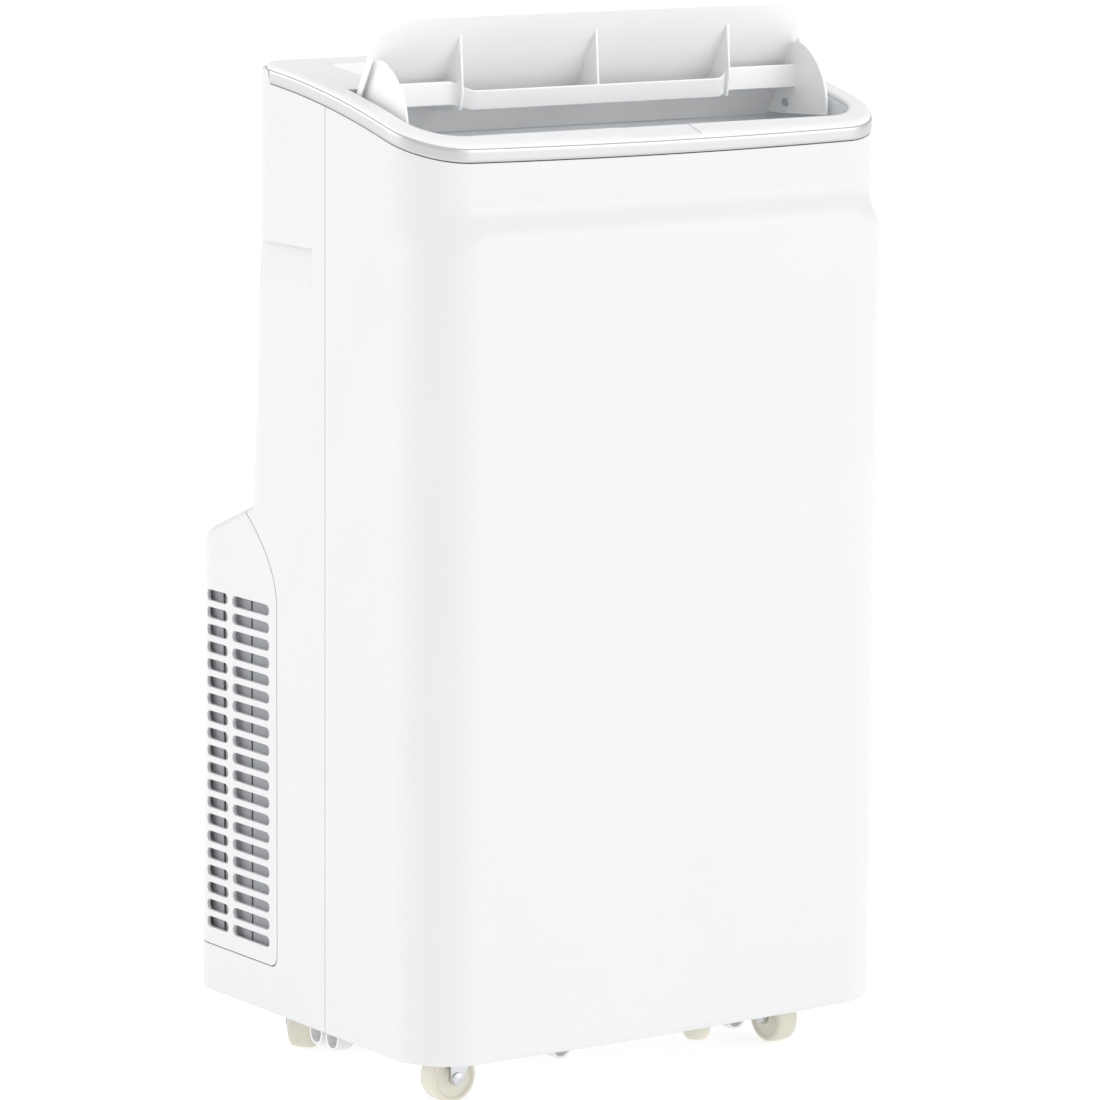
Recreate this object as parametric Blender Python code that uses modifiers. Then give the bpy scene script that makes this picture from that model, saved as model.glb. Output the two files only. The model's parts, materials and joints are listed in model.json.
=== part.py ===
"""Portable air conditioner: a tall moulded cabinet on four swivelling casters.

Frame: +Z up, the front faces -Y, the origin is on the floor below the middle of the object.
The air outlet flap stands open in the rest position.
"""

import math

import bmesh
import bpy
from mathutils import Matrix, Vector

MM = 0.001
GAP = 0.3 * MM

# Cabinet
HALF_WIDTH = 220 * MM
FRONT_Y = -160 * MM
FRONT_BOW = 4 * MM
FRONT_RADIUS = 48 * MM
REAR_RADIUS = 28 * MM
WALL = 2.6 * MM
BASE_Z = 42 * MM
BASE_FILLET = 3 * MM
SEAM_Y = -17 * MM
LOFT_TOP = 800 * MM

# The upper front is set back behind a soft shoulder.
NECK_SETBACK = 12 * MM
NECK_LOW = 662 * MM
NECK_HIGH = 694 * MM

# The lower rear stands out as a hump, which a slotted panel covers.
HUMP_FOOT_Y = 182 * MM
HUMP_HEAD_Y = 174 * MM
HUMP_HEAD_Z = 409 * MM
BACK_LOW_Y = 105 * MM
BACK_LOW_Z = 437 * MM
BACK_HIGH_Y = 86 * MM
BACK_HIGH_Z = 777 * MM

# The top deck curves down to the front: its height falls off with the square of the way back.
DECK_FRONT_Y = FRONT_Y + NECK_SETBACK
DECK_FRONT_Z = 734.5 * MM
DECK_SLOPE = 0.335
DECK_BEND = 0.56
DECK_STATION = 30 * MM
DECK_THICK = 4 * MM
BAND_HEIGHT = 10 * MM
BAND_THICK = 3 * MM
BAND_END_Y = 60 * MM

# Air outlet: flap pivot, and the flap's plate from its lower end, open
OUTLET_HALF_WIDTH = 202.5 * MM
OUTLET_FRONT_Y = -131 * MM
OUTLET_REAR_Y = -22.5 * MM
OUTLET_RADIUS = 33 * MM
DUCT_HALF_WIDTH = 201.5 * MM
DUCT_REAR_Y = -9 * MM
DUCT_FLOOR_Z = 664 * MM
FLAP_PIVOT = Vector((0, -41, 741.6)) * MM
FLAP_FOOT = Vector((0, -12, 731)) * MM
FLAP_LEAN = math.radians(28.7)
FLAP_LENGTH = 105 * MM
FLAP_HALF_WIDTH = 201 * MM
FLAP_THICK = 3 * MM
FLAP_SWING = 31.6 * MM
CHEEK_RADIUS = 51 * MM
CHEEK_X = 194 * MM
CHEEK_THICK = 2.5 * MM
RIB_SPACING = 124.5 * MM
LOUVER_COUNT = 5
LOUVER_PITCH = 75 * MM
LOUVER_Y = -70 * MM
LOUVER_ARM = 30 * MM

# Casters: stem places, and the way each wheel trails behind its stem
CASTER_PLACES = {
    "front_left": ((-150 * MM, -100 * MM), 180),
    "front_right": ((158 * MM, -100 * MM), 90),
    "rear_left": ((-154 * MM, 108 * MM), 220),
    "rear_right": ((154 * MM, 108 * MM), 60),
}
WHEEL_RADIUS = 20 * MM
CASTER_TRAIL = 12 * MM
STEM_RADIUS = 5 * MM

# Slotted rear panel
GRILLE_FRONT_Y = 51 * MM
GRILLE_FOOT_Z = 80 * MM
GRILLE_SWEEP_Y = 88.5 * MM
SLOT_ROWS = 20
SLOT_PITCH = 13.77 * MM
SLOT_HEIGHT = 8.8 * MM
SLOT_LOW_Z = 98.5 * MM
SIDE_SLOTS = ((62.5 * MM, 116.5 * MM), (123 * MM, 155 * MM))
REAR_SLOT_COLUMNS = 2
REAR_SLOT_WIDTH = 170 * MM
REAR_SLOT_SPACING = 180 * MM

# Cooling side's air intake on the upper back
INTAKE_ROWS = 10
INTAKE_PITCH = 19 * MM
INTAKE_LOW_Z = 476 * MM

# Side hand grips
GRIP_LOW_Z = 608 * MM
GRIP_HIGH_Z = 646 * MM
GRIP_FRONT_Y = 0.5 * MM
GRIP_DEPTH = 6 * MM

# Pan that parts the cool half of the inside from the warm half
DIVIDER_Z = 396 * MM

# Exhaust hose outlet on the upper back
EXHAUST_X = 112 * MM
EXHAUST_Z = 540 * MM
EXHAUST_RADIUS = 62 * MM

BUTTONS = ("power", "mode", "fan", "temp_down", "temp_up", "timer")
BUTTON_SPACING = 24 * MM
BUTTON_RADIUS = 6.5 * MM
BUTTON_Y = 34 * MM

# Where the middle of the finished machine lies before it is moved over the origin
MIDDLE_Y = 9.4 * MM


for old in list(bpy.data.objects):
    bpy.data.objects.remove(old, do_unlink=True)

scene = bpy.context.scene
parts = bpy.data.collections.new("portable_air_conditioner")
cutters = bpy.data.collections.new("cutters")
scene.collection.children.link(parts)
scene.collection.children.link(cutters)


# ---------------------------------------------------------------- materials

def material(name, colour, roughness, metallic=0.0):
    made = bpy.data.materials.new(name)
    made.use_nodes = True
    shader = made.node_tree.nodes["Principled BSDF"]
    shader.inputs["Base Color"].default_value = (*colour, 1)
    shader.inputs["Roughness"].default_value = roughness
    shader.inputs["Metallic"].default_value = metallic
    made.diffuse_color = (*colour, 1)
    return made


WHITE = material("white_plastic", (0.86, 0.86, 0.87), 0.4)
WARM_WHITE = material("flap_plastic", (0.82, 0.83, 0.85), 0.4)
SILVER = material("silver_band", (0.72, 0.73, 0.75), 0.25, 0.9)
GREY = material("duct_plastic", (0.55, 0.56, 0.58), 0.5)
DARK = material("dark_plastic", (0.06, 0.06, 0.07), 0.4)
NYLON = material("cream_nylon", (0.78, 0.76, 0.66), 0.35)
RUBBER = material("rubber", (0.05, 0.05, 0.05), 0.8)
ZINC = material("zinc_steel", (0.72, 0.73, 0.75), 0.3, 0.9)
ALUMINIUM = material("aluminium_fins", (0.7, 0.72, 0.74), 0.35, 0.9)
COPPER = material("copper", (0.8, 0.45, 0.28), 0.3, 0.9)
BLACK_PAINT = material("black_paint", (0.03, 0.03, 0.03), 0.4)
FILTER = material("filter_mesh", (0.35, 0.38, 0.42), 0.7)


# ---------------------------------------------------------------- modelling helpers

def place(name, mesh, finish=None, origin=(0, 0, 0)):
    """An object from a mesh whose points are in world space, with its origin put where it is asked for."""
    mesh.transform(Matrix.Translation(-Vector(origin)))
    made = bpy.data.objects.new(name, mesh)
    made.location = origin
    if finish is None:
        cutters.objects.link(made)
        made.hide_render = True
        made.display_type = "WIRE"
    else:
        mesh.materials.append(finish)
        parts.objects.link(made)
    return made


def mesh_from(bm, name):
    bmesh.ops.recalc_face_normals(bm, faces=bm.faces)
    mesh = bpy.data.meshes.new(name)
    bm.to_mesh(mesh)
    bm.free()
    return mesh


def add_box(bm, low, high):
    low, high = Vector(low), Vector(high)
    size = high - low
    matrix = Matrix.Translation((low + high) / 2) @ Matrix.Diagonal((*size, 1))
    return bmesh.ops.create_cube(bm, size=1, matrix=matrix)["verts"]


def box(name, low, high, finish=None, origin=(0, 0, 0)):
    bm = bmesh.new()
    add_box(bm, low, high)
    return place(name, mesh_from(bm, name), finish, origin)


def add_cylinder(bm, radius, start, end, sides=12):
    start, end = Vector(start), Vector(end)
    turn = (end - start).to_track_quat("Z", "Y").to_matrix().to_4x4()
    matrix = Matrix.Translation((start + end) / 2) @ turn
    bmesh.ops.create_cone(
        bm,
        cap_ends=True,
        segments=sides,
        radius1=radius,
        radius2=radius,
        depth=(end - start).length,
        matrix=matrix,
    )


def cylinder(name, radius, start, end, finish=None, origin=(0, 0, 0), sides=12):
    bm = bmesh.new()
    add_cylinder(bm, radius, start, end, sides)
    return round_off(place(name, mesh_from(bm, name), finish, origin))


def round_off(made):
    """Shades a turned piece smooth between its sharp edges."""
    made.data.shade_smooth()
    made.data.set_sharp_from_angle(angle=math.radians(35))
    return made


def outline_mesh(name, points, thickness, matrix):
    """A flat outline, filled as a 2D curve and given a thickness from its own plane up."""
    curve = bpy.data.curves.new(name, "CURVE")
    curve.dimensions = "2D"
    curve.fill_mode = "BOTH"
    curve.extrude = thickness / 2
    spline = curve.splines.new("POLY")
    spline.points.add(len(points) - 1)
    for spot, (x, y) in zip(spline.points, points):
        spot.co = (x, y, 0, 1)
    spline.use_cyclic_u = True
    holder = bpy.data.objects.new(name + "_outline", curve)
    cutters.objects.link(holder)
    bpy.context.view_layer.update()
    graph = bpy.context.evaluated_depsgraph_get()
    mesh = bpy.data.meshes.new_from_object(holder.evaluated_get(graph))
    bpy.data.objects.remove(holder, do_unlink=True)
    bpy.data.curves.remove(curve)
    bm = bmesh.new()
    bm.from_mesh(mesh)
    bpy.data.meshes.remove(mesh)
    bmesh.ops.remove_doubles(bm, verts=bm.verts, dist=0.01 * MM)
    lift = Matrix.Translation((0, 0, thickness / 2))
    bmesh.ops.transform(bm, matrix=matrix @ lift, verts=bm.verts)
    return mesh_from(bm, name)


def boolean(target, other, operation="DIFFERENCE"):
    step = target.modifiers.new(other.name, "BOOLEAN")
    step.operation = operation
    step.solver = "EXACT"
    step.object = other
    return target


def turned(name, profile, centre, finish, axis="Z", sides=18):
    """A profile of (radius, height) pairs in millimetres, turned about an axis.

    It runs down its outer side.
    """
    bm = bmesh.new()
    rim = [bm.verts.new((radius * MM, 0, height * MM)) for radius, height in profile]
    for near, far in zip(rim, rim[1:]):
        bm.edges.new((near, far))
    mesh = bpy.data.meshes.new(name)
    bm.to_mesh(mesh)
    bm.free()
    made = place(name, mesh, finish)
    made.location = centre
    made.rotation_euler = {"Z": (0, 0, 0), "Y": (-math.pi / 2, 0, 0)}[axis]
    screw = made.modifiers.new("turn", "SCREW")
    screw.steps = screw.render_steps = sides
    screw.use_merge_vertices = True
    screw.merge_threshold = 0.05 * MM
    screw.use_smooth_shade = True
    return made


def arc(centre, radius, first, last, steps):
    """Points along an arc, with the angles in degrees."""
    for step in range(steps + 1):
        angle = math.radians(first + (last - first) * step / steps)
        yield (centre[0] + radius * math.cos(angle), centre[1] + radius * math.sin(angle))


def tube(name, route, radius, finish):
    """A bent pipe along a route of points."""
    curve = bpy.data.curves.new(name, "CURVE")
    curve.dimensions = "3D"
    curve.bevel_depth = radius
    curve.bevel_resolution = 1
    curve.use_fill_caps = True
    spline = curve.splines.new("POLY")
    spline.points.add(len(route) - 1)
    for spot, point in zip(spline.points, route):
        spot.co = (*point, 1)
    made = bpy.data.objects.new(name, curve)
    curve.materials.append(finish)
    parts.objects.link(made)
    return made


# ---------------------------------------------------------------- cabinet form

def smooth_step(value, low, high):
    share = min(max((value - low) / (high - low), 0), 1)
    return share * share * (3 - 2 * share)


def between(value, low, high, at_low, at_high):
    return at_low + (at_high - at_low) * (value - low) / (high - low)


def back_y(z):
    """The y of the back wall's outer face at a height."""
    if z >= BACK_LOW_Z:
        return between(z, BACK_LOW_Z, BACK_HIGH_Z, BACK_LOW_Y, BACK_HIGH_Y)
    if z >= HUMP_HEAD_Z:
        return between(z, HUMP_HEAD_Z, BACK_LOW_Z, HUMP_HEAD_Y, BACK_LOW_Y)
    return between(z, BASE_Z, HUMP_HEAD_Z, HUMP_FOOT_Y, HUMP_HEAD_Y)


def plan(front, back, inset):
    """The cabinet's rounded outline seen from above, anticlockwise, with a bowed front."""
    half = HALF_WIDTH - inset
    front_radius = FRONT_RADIUS - inset
    rear_radius = REAR_RADIUS - inset
    front, back = front + inset, back - inset
    left = (-half + front_radius, front + front_radius)
    right = (half - front_radius, front + front_radius)
    points = list(arc(left, front_radius, 180, 270, 7))
    span = right[0]
    for step in range(1, 6):
        x = -span + step * span / 3
        points.append((x, front - FRONT_BOW * (1 - (x / span) ** 2)))
    points += arc(right, front_radius, 270, 360, 7)
    points += arc((half - rear_radius, back - rear_radius), rear_radius, 0, 90, 5)
    points += arc((-half + rear_radius, back - rear_radius), rear_radius, 90, 180, 5)
    return points


def cabinet_solid(name, inset, low, extra_insets=()):
    """The cabinet's outer form, or a smaller one inside it, as rings of the plan bridged together."""
    heights = [low, HUMP_HEAD_Z - inset, BACK_LOW_Z - inset]
    heights += [NECK_LOW + (NECK_HIGH - NECK_LOW) * share for share in (0, 0.2, 0.4, 0.6, 0.8, 1)]
    heights.append(LOFT_TOP)
    levels = [(z, inset) for z in heights]
    levels[0:1] = list(extra_insets) or levels[0:1]
    bm = bmesh.new()
    rings = []
    for z, level_inset in levels:
        # An inner form's sloping rear lies below the outer form's.
        rise = 1.1 * inset
        back = min(back_y(z), back_y(z + rise) + level_inset)
        front = FRONT_Y + NECK_SETBACK * smooth_step(z, NECK_LOW, NECK_HIGH)
        ring = [bm.verts.new((x, y, z)) for x, y in plan(front, back, level_inset)]
        rings.append([bm.edges.new((ring[i - 1], ring[i])) for i in range(len(ring))])
    for lower, upper in zip(rings, rings[1:]):
        bmesh.ops.bridge_loops(bm, edges=lower + upper)
    for end in (rings[0], rings[-1]):
        bmesh.ops.contextual_create(bm, geom=end)
    return place(name, mesh_from(bm, name))


def deck_curve(y):
    reach = y - DECK_FRONT_Y
    return DECK_FRONT_Z + DECK_SLOPE * reach - DECK_BEND * reach ** 2


def deck_z(y, drop=0.0):
    """The top surface's height at a y, less a drop: flat facets between evenly spaced stations."""
    near = math.floor(y / DECK_STATION) * DECK_STATION
    far = near + DECK_STATION
    return between(y, near, far, deck_curve(near), deck_curve(far)) - drop


def side_profile(name, points, low_x, high_x, finish=None):
    """An outline in the y-z plane, given a width across x."""
    matrix = Matrix(((0, 0, 1, low_x), (1, 0, 0, 0), (0, 1, 0, 0), (0, 0, 0, 1)))
    return place(name, outline_mesh(name, points, high_x - low_x, matrix), finish)


def deck_block(name, low, high, upper_drop, lower_drop, finish=None):
    """A block that follows the deck's curve, between two corners seen from above."""
    near, far = max(low[1], -0.2), min(high[1], 0.2)
    first = math.floor(near / DECK_STATION) + 1
    last = math.ceil(far / DECK_STATION)
    stops = [near] + [index * DECK_STATION for index in range(first, last)] + [far]
    points = [(y, deck_z(y, lower_drop)) for y in stops]
    points += [(y, deck_z(y, upper_drop)) for y in reversed(stops)]
    return side_profile(name, points, low[0], high[0], finish)


def deck_layer(name, inset, upper_drop, lower_drop, finish=None):
    """A layer of the deck over the cabinet's whole outline."""
    made = deck_block(name, (-BIG, -BIG), (BIG, BIG), upper_drop, lower_drop, finish)
    outline = plan(DECK_FRONT_Y, BACK_HIGH_Y, inset)
    prism = outline_mesh(name, outline, 0.4, Matrix.Translation((0, 0, 0.5)))
    return boolean(made, place(f"{name}_outline", prism), "INTERSECT")


BIG = 0.6
BAND_LOW = DECK_THICK + BAND_HEIGHT
outer_form = cabinet_solid(
    "outer_form", 0, BASE_Z, [(BASE_Z, BASE_FILLET), (BASE_Z + 1.5 * MM, 1 * MM), (BASE_Z + 5 * MM, 0)]
)
inner_form = cabinet_solid("inner_form", WALL, BASE_Z - 10 * MM)


def grip_outline(margin):
    """The hand grip's depth against height: a sharp upper edge and a soft ramp below."""
    inner = HALF_WIDTH - GRIP_DEPTH - margin
    outer = HALF_WIDTH + 5 * MM
    ramp = (GRIP_HIGH_Z - GRIP_LOW_Z) * 0.5
    return [
        (outer, GRIP_LOW_Z - margin),
        (HALF_WIDTH - margin, GRIP_LOW_Z - margin),
        (inner + 1.5 * MM, GRIP_LOW_Z + ramp * 0.7 - margin),
        (inner, GRIP_LOW_Z + ramp - margin),
        (inner, GRIP_HIGH_Z + margin),
        (outer, GRIP_HIGH_Z + margin),
    ]


def grip_cutter(name, side, margin):
    """The grip runs along the side and out past the rear corner."""
    front = GRIP_FRONT_Y - margin
    points = [(side * x, z) for x, z in grip_outline(margin)]
    length = 0.13
    matrix = Matrix(((1, 0, 0, 0), (0, 0, -1, front + length), (0, 1, 0, 0), (0, 0, 0, 1)))
    return place(name, outline_mesh(name, points, length, matrix))


for side, label in ((-1, "left"), (1, "right")):
    boolean(outer_form, grip_cutter(f"grip_{label}", side, 0))
    boolean(inner_form, grip_cutter(f"grip_{label}_inside", side, WALL))


def cabinet_walls(name, finish, *openings):
    """The whole cabinet's skin less some openings, from which each shell keeps its own region."""
    made = place(name, outer_form.data.copy(), finish)
    for label in ("left", "right"):
        boolean(made, bpy.data.objects[f"grip_{label}"])
    for opening in openings:
        boolean(made, opening)
    return boolean(made, inner_form)


# ---------------------------------------------------------------- shells

above_band = deck_block("above_band", (-BIG, -BIG), (BIG, BIG), -BIG, BAND_LOW + GAP)
above_front = deck_block("above_front", (-BIG, -BIG), (BIG, BAND_END_Y + GAP), -BIG, BAND_LOW + GAP)
above_rear = deck_block("above_rear", (-BIG, -BIG), (BIG, BIG), -BIG, DECK_THICK + GAP)

front_shell = cabinet_walls("front_shell", WHITE)
boolean(front_shell, box("behind_seam", (-BIG, SEAM_Y - GAP / 2, -BIG), (BIG, BIG, 2 * BIG)))
boolean(front_shell, above_band)

def grille_outline(margin):
    """Side view of the slotted panel: upright front edge that sweeps back to the top of the hump."""
    front = GRILLE_FRONT_Y + margin
    foot = GRILLE_FOOT_Z + margin
    top = [(BACK_LOW_Y + 1.5 * margin, BACK_LOW_Z - 1 * MM)]
    sweep = [
        (front + (GRILLE_SWEEP_Y - front) * share ** 2.2, HUMP_HEAD_Z - 47 * MM + 74 * MM * share)
        for share in (0.85, 0.65, 0.45, 0.25, 0)
    ]
    far = 0.3
    foot_corner = [(front, foot + 10 * MM), (front + 10 * MM, foot)]
    return top + sweep + foot_corner + [(far, foot), (far, BACK_LOW_Z - 1 * MM)]


grille_opening = side_profile("grille_opening", grille_outline(0), -BIG / 2, BIG / 2)
rear_shell = cabinet_walls("rear_shell", WHITE, grille_opening)
boolean(rear_shell, box("before_seam", (-BIG, -BIG, -BIG), (BIG, SEAM_Y + GAP / 2, 2 * BIG)))
boolean(rear_shell, above_front)
boolean(rear_shell, above_rear)

rear_grille = cabinet_walls("rear_grille", WHITE)
boolean(rear_grille, side_profile("grille_region", grille_outline(GAP), -BIG / 2, BIG / 2), "INTERSECT")


def slot_block():
    """All the panel's air slots as one cutter: two columns on each side and two across the back."""
    bm = bmesh.new()
    for row in range(SLOT_ROWS):
        low = SLOT_LOW_Z - SLOT_HEIGHT / 2 + row * SLOT_PITCH
        high = low + SLOT_HEIGHT
        for side in (-1, 1):
            for near, far in SIDE_SLOTS:
                ends = sorted((side * (HALF_WIDTH - 12 * MM), side * (HALF_WIDTH + 12 * MM)))
                add_box(bm, (ends[0], near, low), (ends[1], far, high))
        for column in range(REAR_SLOT_COLUMNS):
            centre = (column - (REAR_SLOT_COLUMNS - 1) / 2) * REAR_SLOT_SPACING
            half = REAR_SLOT_WIDTH / 2
            add_box(bm, (centre - half, 165 * MM, low), (centre + half, 195 * MM, high))
    return place("grille_slots", mesh_from(bm, "grille_slots"))


boolean(rear_grille, slot_block())

# Rear upper wall: an intake for the cooling side on the left, and the exhaust outlet on the right.
intake = bmesh.new()
for row in range(INTAKE_ROWS):
    low = INTAKE_LOW_Z + row * INTAKE_PITCH
    add_box(intake, (-175 * MM, 75 * MM, low), (10 * MM, 120 * MM, low + INTAKE_PITCH / 2))
boolean(rear_shell, place("intake_slots", mesh_from(intake, "intake_slots")))
boolean(
    rear_shell,
    cylinder(
        "exhaust_hole",
        EXHAUST_RADIUS + 2 * MM,
        (EXHAUST_X, 75 * MM, EXHAUST_Z),
        (EXHAUST_X, 135 * MM, EXHAUST_Z),
        sides=24,
    ),
)

exhaust_face_y = back_y(EXHAUST_Z)
turned(
    "exhaust_collar",
    [(59, 26), (62, 26), (62, 6), (70, 6), (70, 4), (62, 4), (62, -20), (59, -20), (59, 26)],
    (EXHAUST_X, exhaust_face_y, EXHAUST_Z),
    GREY,
    axis="Y",
    sides=24,
)

# ---------------------------------------------------------------- base

base_tray = place(
    "base_tray",
    outline_mesh(
        "base_tray",
        plan(FRONT_Y, back_y(75 * MM), WALL + 0.8 * MM),
        13 * MM,
        Matrix.Translation((0, 0, 44 * MM)),
    ),
    GREY,
)
TRAY_INSET = WALL + 3.5 * MM
for name, low, high in (("tray_inside", 55, 80), ("tray_underside", 40, 52)):
    outline = plan(FRONT_Y, back_y(75 * MM), TRAY_INSET)
    mesh = outline_mesh(name, outline, (high - low) * MM, Matrix.Translation((0, 0, low * MM)))
    boolean(base_tray, place(name, mesh))


def hook_outline():
    """A U-shaped loop, seen along its length, that hangs below the tray."""
    outside = list(arc((0, 38.5 * MM), 9 * MM, 180, 360, 5))
    inside = list(arc((0, 38.5 * MM), 7.2 * MM, 360, 180, 5))
    top = 53 * MM
    return [(-9 * MM, top)] + outside + [(9 * MM, top), (7.2 * MM, top)] + inside + [(-7.2 * MM, top)]


def hook(name, x, y, along):
    if along == "y":
        matrix = Matrix(((1, 0, 0, x), (0, 0, -1, y + 7 * MM), (0, 1, 0, 0), (0, 0, 0, 1)))
    else:
        matrix = Matrix(((0, 0, 1, x - 7 * MM), (1, 0, 0, y), (0, 1, 0, 0), (0, 0, 0, 1)))
    return place(name, outline_mesh(name, hook_outline(), 14 * MM, matrix))


HOOKS = (
    ("hook_a", -83, -131, "y"),
    ("hook_b", 83, -131, "y"),
    ("hook_c", -209, -21, "x"),
    ("hook_d", -209, 2, "x"),
    ("hook_e", 209, -21, "x"),
    ("hook_f", 209, 2, "x"),
)
for name, x, y, along in HOOKS:
    boolean(base_tray, hook(name, x * MM, y * MM, along), "UNION")
for label, (stem, _) in CASTER_PLACES.items():
    boss = cylinder(f"{label}_boss", 12 * MM, (*stem, 46 * MM), (*stem, 58 * MM))
    boolean(base_tray, boss, "UNION")
    bore = cylinder(f"{label}_bore", STEM_RADIUS + 0.4 * MM, (*stem, 40 * MM), (*stem, 70 * MM))
    boolean(base_tray, bore)

DRAIN_PLACE = (50 * MM, -131 * MM)
boolean(base_tray, cylinder("drain_bore", 6.3 * MM, (*DRAIN_PLACE, 45 * MM), (*DRAIN_PLACE, 60 * MM)))
turned(
    "drain_plug",
    [(0, 60), (6, 60), (6, 51.5), (11, 51.5), (11, 31), (8, 26), (0, 26)],
    (*DRAIN_PLACE, 0),
    NYLON,
)

# ---------------------------------------------------------------- casters

def caster(label, stem, heading):
    """One caster: swivelling fork with its stem, an axle, and a turned nylon wheel."""
    forward = Vector((math.cos(math.radians(heading)), math.sin(math.radians(heading)), 0))
    across = Vector((-forward.y, forward.x, 0))
    axle_centre = Vector((*stem, WHEEL_RADIUS)) + forward * CASTER_TRAIL
    to_world = Matrix((
        (forward.x, across.x, 0, stem[0]),
        (forward.y, across.y, 0, stem[1]),
        (0, 0, 1, 0),
        (0, 0, 0, 1),
    ))
    bm = bmesh.new()
    add_box(bm, (-9 * MM, -13 * MM, 42.5 * MM), (CASTER_TRAIL + 6 * MM, 13 * MM, 44.6 * MM))
    bmesh.ops.transform(bm, matrix=to_world, verts=bm.verts)
    fork = place(f"{label}_fork", mesh_from(bm, "fork"), ZINC, (*stem, 44 * MM))
    for side in (-1, 1):
        # Each leg tapers from the plate down to a round end at the axle.
        leg = [(-7 * MM, 43.5 * MM)]
        leg += list(arc((CASTER_TRAIL, WHEEL_RADIUS), 5.5 * MM, 200, 340, 4))
        leg.append((CASTER_TRAIL + 6 * MM, 43.5 * MM))
        start = 11 * MM if side > 0 else -13 * MM
        upright = Matrix(((1, 0, 0, 0), (0, 0, -1, start + 2 * MM), (0, 1, 0, 0), (0, 0, 0, 1)))
        mesh = outline_mesh(f"{label}_leg", leg, 2 * MM, to_world @ upright)
        boolean(fork, place(f"{label}_leg_{side + 1}", mesh), "UNION")
    post = cylinder(f"{label}_stem", STEM_RADIUS, (*stem, 43 * MM), (*stem, 57 * MM))
    boolean(fork, post, "UNION")
    reach = across * 20 * MM
    hole = cylinder(f"{label}_axle_hole", 2.8 * MM, axle_centre - reach, axle_centre + reach)
    boolean(fork, hole)

    shaft = bmesh.new()
    add_cylinder(shaft, 2.5 * MM, axle_centre - across * 15 * MM, axle_centre + across * 15 * MM, 12)
    round_off(place(f"{label}_axle", mesh_from(shaft, "axle"), ZINC, axle_centre))

    profile = [
        (2.8, 9.5), (7, 9.5), (8.5, 7.5), (15.5, 7.5), (17, 9.5), (20, 8), (20, -8), (17, -9.5),
        (15.5, -7.5), (8.5, -7.5), (7, -9.5), (2.8, -9.5), (2.8, 9.5),
    ]
    wheel = turned(f"{label}_wheel", profile, axle_centre, NYLON, sides=20)
    wheel.rotation_euler = across.to_track_quat("Z", "Y").to_euler()


for label, (stem, heading) in CASTER_PLACES.items():
    caster(label, stem, heading)

# ---------------------------------------------------------------- top deck

def round_front(half, front, rear, radius):
    """A rectangle seen from above, with its two front corners rounded."""
    points = [(half, rear), (-half, rear)]
    points += arc((-half + radius, front + radius), radius, 180, 270, 6)
    points += arc((half - radius, front + radius), radius, 270, 360, 6)
    return points


band = deck_layer("trim_band", -0.5 * MM, DECK_THICK, BAND_LOW, SILVER)
boolean(band, deck_layer("band_inside", BAND_THICK, 0, BIG))
boolean(band, box("band_end", (-BIG, BAND_END_Y, 0), (BIG, BIG, 2 * BIG)))

top_panel = deck_layer("top_panel", 0.6 * MM, 0, DECK_THICK - GAP, WHITE)
skirt = deck_layer("panel_skirt", BAND_THICK + 1 * MM, 1 * MM, BAND_LOW + 4 * MM)
boolean(skirt, deck_layer("skirt_inside", BAND_THICK + 3.5 * MM, -BIG, BIG))
boolean(top_panel, skirt, "UNION")
outlet_outline = round_front(OUTLET_HALF_WIDTH, OUTLET_FRONT_Y, OUTLET_REAR_Y, OUTLET_RADIUS)
below_deck = Matrix.Translation((0, 0, 680 * MM))
outlet_opening = outline_mesh("outlet", outlet_outline, 200 * MM, below_deck)
boolean(top_panel, place("outlet_opening", outlet_opening))
swing_reach = Vector((OUTLET_HALF_WIDTH, 0, 0))
swing_ends = (FLAP_PIVOT - swing_reach, FLAP_PIVOT + swing_reach)
flap_swing = cylinder("flap_swing", FLAP_SWING, *swing_ends, sides=36)
boolean(top_panel, flap_swing)
boolean(top_panel, deck_block("finger_notch", (-32 * MM, -BIG), (32 * MM, -120 * MM), -BIG, 1.2 * MM))

FASCIA_LOW = (-170 * MM, 12 * MM)
FASCIA_HIGH = (170 * MM, 56 * MM)
SCREEN_LOW = (-24 * MM, 20 * MM)
SCREEN_HIGH = (24 * MM, 48 * MM)
boolean(top_panel, deck_block("fascia_recess", FASCIA_LOW, FASCIA_HIGH, -BIG, 10 * MM))
fascia_inset = 0.5 * MM
fascia = deck_block(
    "control_fascia",
    (FASCIA_LOW[0] + fascia_inset, FASCIA_LOW[1] + fascia_inset),
    (FASCIA_HIGH[0] - fascia_inset, FASCIA_HIGH[1] - fascia_inset),
    0.2 * MM,
    3 * MM,
    WARM_WHITE,
)
boolean(fascia, deck_block("screen_hole", SCREEN_LOW, SCREEN_HIGH, -BIG, BIG))
deck_block(
    "display_window",
    (SCREEN_LOW[0] + GAP, SCREEN_LOW[1] + GAP),
    (SCREEN_HIGH[0] - GAP, SCREEN_HIGH[1] - GAP),
    0.3 * MM,
    3 * MM,
    DARK,
)


def button_x(index):
    """Three buttons on each side of the screen, which is why the middle is left free."""
    step = index - 3 if index < 3 else index - 2
    return step * BUTTON_SPACING + math.copysign(24 * MM, step)


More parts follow.
